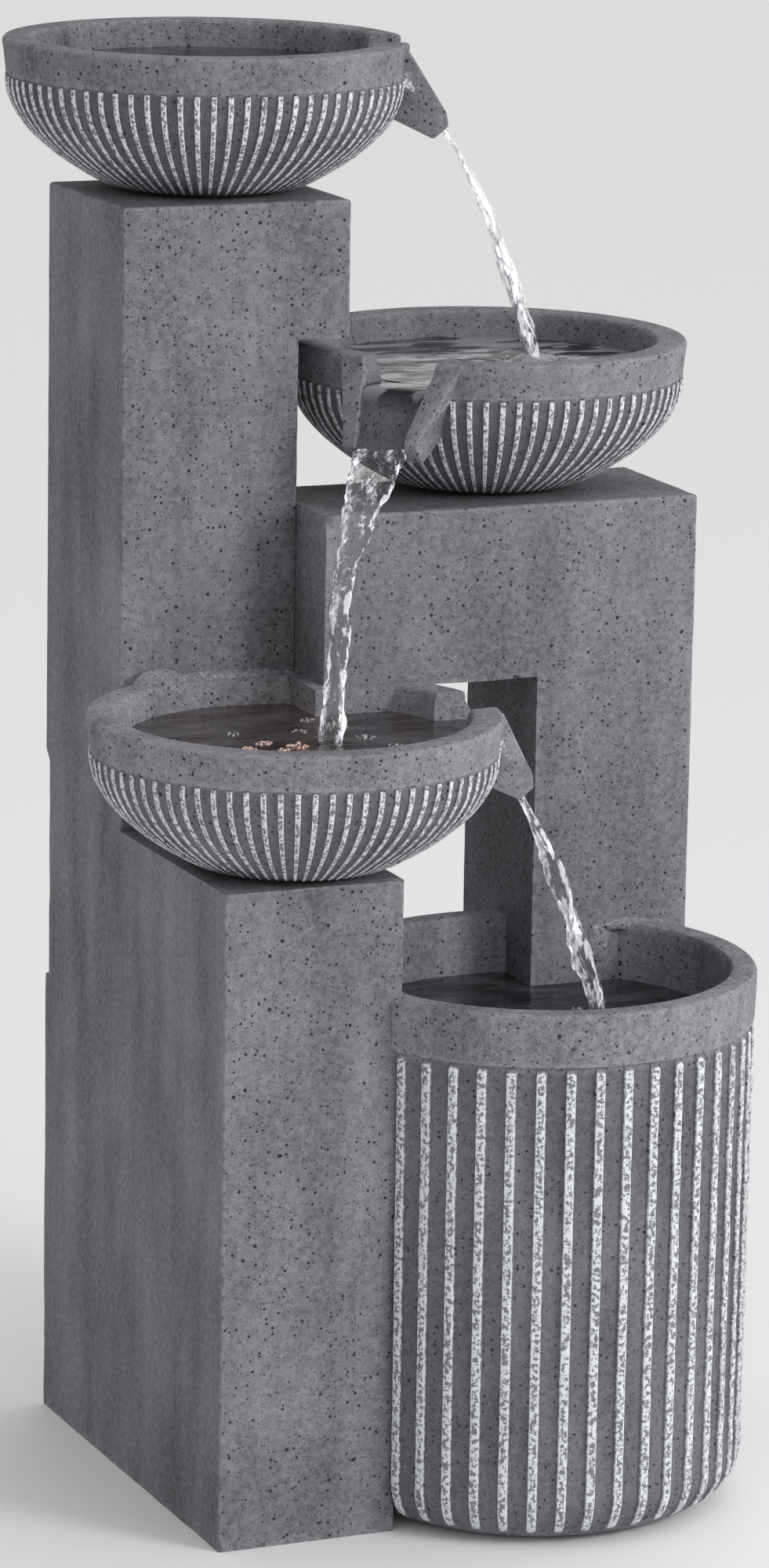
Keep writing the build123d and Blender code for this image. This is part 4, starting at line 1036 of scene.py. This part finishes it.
def falling_finish():
    """Clear moving water with painted highlights: white, glowing glints along its edges and streaks,
    dark and clear between.
    """
    water = Finish("falling_water", Roughness=0.03, IOR=1.333, Transmission_Weight=0.95)
    rim = water.attribute("rim")
    streak = water.noise(170, detail=4, rough=0.7, stretch=(1, 1, 0.14))
    # painted highlight: white glints along the sheet's edges and its streaks
    glint = water.between(streak + rim * 0.16, 0.60, 0.66)
    water.paint(Base_Color=water.mix(glint, (0.55, 0.56, 0.59), (1.0, 1.0, 1.0)))
    water.paint(Roughness=water.between(glint, 0, 1, 0.03, 0.35))
    water.paint(Alpha=water.between(streak + rim * 0.20, 0.46, 0.64, 0.22, 1.0))
    # painted light: the glints also glow
    water.paint(Emission_Color=water.mix(glint, (0, 0, 0), (0.50, 0.51, 0.53)), Emission_Strength=0.9)
    water.bump(water.noise(230, detail=3, stretch=(1, 1, 0.25)), 1.6 * MM)
    return water.material


falling_water = falling_finish()


def stream(name, fall, seed):
    """One falling stream: a drum cut into rings, then bent, flattened and roughened."""
    mesh = bmesh.new()
    bmesh.ops.create_cone(mesh, cap_ends=True, segments=RING, radius1=1, radius2=1, depth=1)
    bmesh.ops.translate(mesh, vec=(0, 0, 0.5), verts=mesh.verts)
    for station in range(1, STATIONS):
        bmesh.ops.bisect_plane(mesh, geom=mesh.verts[:] + mesh.edges[:] + mesh.faces[:],
                               plane_co=(0, 0, station / STATIONS), plane_no=(0, 0, 1))
    rim = []
    for vert in mesh.verts:
        part = min(1.0, max(0.0, vert.co.z))
        around = Vector((vert.co.x, vert.co.y, 0))
        # mask for the painted highlight along the sheet's two edges
        rim.append(fade(abs(around.x), 0.72, 0.98))
        ahead = fall.point(min(1.0, part + STEP)) - fall.point(max(0.0, part - STEP))
        ahead.normalize()
        side = (fall.side - fall.side.dot(ahead) * ahead).normalized()
        rope = noise.noise(around * 1.4 + Vector((seed, 0, part * 9)))
        bead = noise.noise(around * 2.5 + Vector((0, seed, part * 30)))
        sheet = 1 - fade(part, 0.05, 0.45)
        pinch = 1 - 0.55 * sheet * (1 - fade(abs(around.x), 0.15, 0.6))
        grow = 1 + (0.60 * rope + 0.40 * bead) * (0.3 + 0.7 * part)
        thick = (THIN + THICKEN * fade(part, 0.05, 0.8)) * pinch
        twist = 0.9 * part * noise.noise(Vector((part * 5, seed, 0)))
        flat = Vector((around.x * fall.width(part) / 2, around.y * thick)) * grow
        flat.rotate(Matrix.Rotation(twist, 2))
        vert.co = fall.point(part) + side * flat.x + side.cross(ahead) * flat.y
    bmesh.ops.recalc_face_normals(mesh, faces=mesh.faces)
    piece = as_object(mesh, name)
    store(piece, "rim", rim)
    finished(piece, falling_water, sharp=80)


for seed, (name, fall) in enumerate(falls.items()):
    stream(name, fall, 3.7 * seed + 1)

# %% [markdown]
# ## Foam
# Where a stream goes in, it drags air down, which comes up as rosettes of small bubbles. Each
# bubble is a low ball half out of the water, and each rosette is a ring of them about a larger one.


# %% Bubbles
PETALS = 9
SINK = 0.1                   # part of its radius by which a bubble sinks


def foam(name, landing, rosettes, finish):
    """Rosettes of bubbles, each given by its bearing in degrees, and distance and size in mm."""
    mesh = bmesh.new()
    for bearing, distance, size in rosettes:
        turn = math.radians(bearing)
        hub = Vector(landing) + Vector((math.cos(turn), math.sin(turn), 0)) * distance * MM
        balls = [(hub, size * 0.42)]
        for i in range(PETALS):
            around = 2 * math.pi * (i + random.random() * 0.5) / PETALS
            reach = size * random.uniform(0.75, 1.25)
            offset = Vector((math.cos(around), math.sin(around), 0)) * reach * MM
            balls.append((hub + offset, size * random.uniform(0.18, 0.36)))
        for place, radius in balls:
            sunk = Matrix.Translation(place - Vector((0, 0, SINK * radius * MM)))
            bmesh.ops.create_icosphere(mesh, subdivisions=2, radius=radius * MM, matrix=sunk)
    finished(as_object(mesh, name), finish, sharp=80)


def bubble_finish(name, glow):
    """The bubble's thin skin, which may glow warmly: painted light for the lamp below."""
    skin = Finish(name, Roughness=0.05, IOR=1.333, Emission_Strength=1.0)
    patch = skin.between(skin.noise(420, detail=2), 0.4, 0.6)
    skin.paint(Base_Color=skin.mix(patch, (0.10, 0.10, 0.11), (0.62, 0.63, 0.66)))
    skin.paint(Alpha=skin.between(patch, 0, 1, 0.35, 0.75))
    # painted light: the skin glows with the lamp's warm colour
    skin.paint(Emission_Color=skin.mix(patch, (0, 0, 0), glow))
    skin.bump(patch, 0.3 * MM)
    return skin.material


random.seed(7)
near_top, near_middle, near_lower = (fall.landing for fall in falls.values())
clear_bubbles = bubble_finish("clear_bubbles", (0.0, 0.0, 0.0))
# painted light: these bubbles glow as if lit by the lamp
lit_bubbles = bubble_finish("lit_bubbles", (0.42, 0.20, 0.10))
foam("foam_middle", near_top,
     [(200, 14, 4.5), (150, 20, 4.0), (260, 17, 4.2), (20, 16, 4.0), (320, 22, 3.4), (90, 18, 3.6)],
     clear_bubbles)
foam("foam_lower", near_middle,
     [(15, 30, 5.0), (60, 52, 4.6), (100, 40, 5.2), (140, 72, 4.4), (330, 46, 4.2), (80, 74, 4.0)],
     clear_bubbles)
foam("foam_lit", near_middle,
     [(185, 26, 5.6), (200, 44, 4.8), (165, 46, 5.0), (225, 38, 4.2), (180, 62, 4.0)], lit_bubbles)
foam("foam_basin", near_lower,
     [(180, 15, 4.2), (240, 19, 3.8), (60, 16, 3.6), (300, 17, 3.8)], clear_bubbles)

# %% [markdown]
# ## The lamp's glow
# A small lamp lies on the lower bowl's floor and warms the water over it. The lamp's lens shines,
# and a small point light above it throws the same colour on the bowl.

# %% Glow
GLOW_POWER = 0.25
GLOW_COLOUR = (1.0, 0.52, 0.24)
GLOW_RISE = Vector((0, 0, 14 * MM))
bulb = bpy.data.lights.new("lamp_glow", "POINT")
bulb.energy = GLOW_POWER
bulb.color = GLOW_COLOUR
bulb.shadow_soft_size = 10 * MM
glow = bpy.data.objects.new("lamp_glow", bulb)
glow.location = middle(*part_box("light_lens")) + GLOW_RISE
bpy.context.scene.collection.objects.link(glow)
print("lamp at", tuple(round(part, 3) for part in glow.location))

# %% [markdown]
# ## The fittings
# The pump, hose, seals and screws keep their CAD shapes. They still get a worked finish each:
# moulded plastic has a fine orange-peel skin, rubber is dusty, steel is brushed, ferrite is grainy.


# %% Finishes for the fittings
def moulded(name, colour, rough, grain=700, lift=1.6, **extra):
    """Moulded plastic or rubber: slightly uneven colour, and a skin with a fine grain."""
    part = Finish(name, **extra)
    patch = part.noise(45, detail=4)
    skin = part.noise(grain, detail=2)
    light = tuple(min(1.0, channel * lift + 0.01) for channel in colour)
    part.paint(Base_Color=part.mix(part.between(patch, 0.3, 0.75), colour, light))
    part.paint(Roughness=part.between(patch + skin * 0.5, 0.5, 1.1, rough - 0.08, rough + 0.1))
    part.bump(skin, 0.12 * MM)
    return part.material


def brushed_steel():
    """Stainless steel with brush marks across it."""
    steel = Finish("stainless_steel", Metallic=1.0)
    marks = steel.noise(520, detail=3, stretch=(1, 0.08, 1))
    steel.paint(Base_Color=steel.mix(marks, (0.42, 0.43, 0.44), (0.66, 0.67, 0.68)))
    steel.paint(Roughness=steel.between(marks, 0.3, 0.7, 0.22, 0.42))
    steel.bump(marks, 0.05 * MM)
    return steel.material


def circuit_board():
    """Green board with tinned pads."""
    board = Finish("circuit_board", Roughness=0.35)
    pads = board.specks(420, 0.3, 0.8)
    tracks = board.between(board.noise(200, detail=1), 0.48, 0.52)
    colour = board.mix(tracks * 0.5, (0.02, 0.13, 0.05), (0.03, 0.24, 0.09))
    board.paint(Base_Color=board.mix(pads, colour, (0.7, 0.7, 0.66)), Metallic=pads * 0.8)
    board.bump(pads + tracks * 0.3, 0.1 * MM)
    return board.material


def warm_lens():
    """The lamp's clear lens, lit from inside."""
    clear = Finish("lamp_lens", Roughness=0.15, Emission_Strength=3.0, IOR=1.49)
    facets = clear.specks(260, 0.5, 1.0)
    clear.paint(Base_Color=clear.mix(facets, (0.55, 0.38, 0.22), (0.95, 0.80, 0.60)))
    clear.paint(Emission_Color=clear.mix(facets, (0.9, 0.34, 0.10), (1.0, 0.62, 0.30)))
    clear.bump(facets, 0.2 * MM)
    return clear.material


SLOT_FINISHES = {
    "cast_block": block_stone,
    "ribbed_cast": bowl_stone,
    "adhesive": moulded("bedding_mastic", (0.05, 0.048, 0.047), 0.75, grain=300, lift=2.6),
    "panel": moulded("moulded_cover", (0.055, 0.053, 0.058), 0.6, grain=420, lift=1.9),
    "seal_rubber": moulded("black_rubber", (0.016, 0.016, 0.016), 0.7, lift=2.0),
    "pump_plastic": moulded("pump_shell", (0.013, 0.013, 0.015), 0.42, lift=1.7),
    "dial_plastic": moulded("dial_grip", (0.028, 0.028, 0.032), 0.38, lift=1.6),
    "impeller_plastic": moulded("rotor_plastic", (0.52, 0.52, 0.48), 0.3, lift=1.15),
    "magnet": moulded("ferrite", (0.035, 0.034, 0.036), 0.55, grain=1400, lift=1.8),
    "steel": brushed_steel(),
    "hose": moulded("hose_vinyl", (0.03, 0.033, 0.036), 0.28, grain=160, lift=1.9, Coat_Weight=0.4),
    "fitting_plastic": moulded("nylon_fitting", (0.018, 0.018, 0.020), 0.45, lift=1.8),
    "board": circuit_board(),
    "lens": warm_lens(),
    "plug_rubber": moulded("bung_rubber", (0.024, 0.024, 0.024), 0.65, grain=380, lift=1.9),
}
for row in frame["record"]["subparts"]:
    skin = frame["nodes"][row["node"]].data.materials
    skin.clear()
    skin.append(SLOT_FINISHES[row["material_slot"]])
print(len(SLOT_FINISHES), "finishes on", len(frame["nodes"]), "CAD nodes")
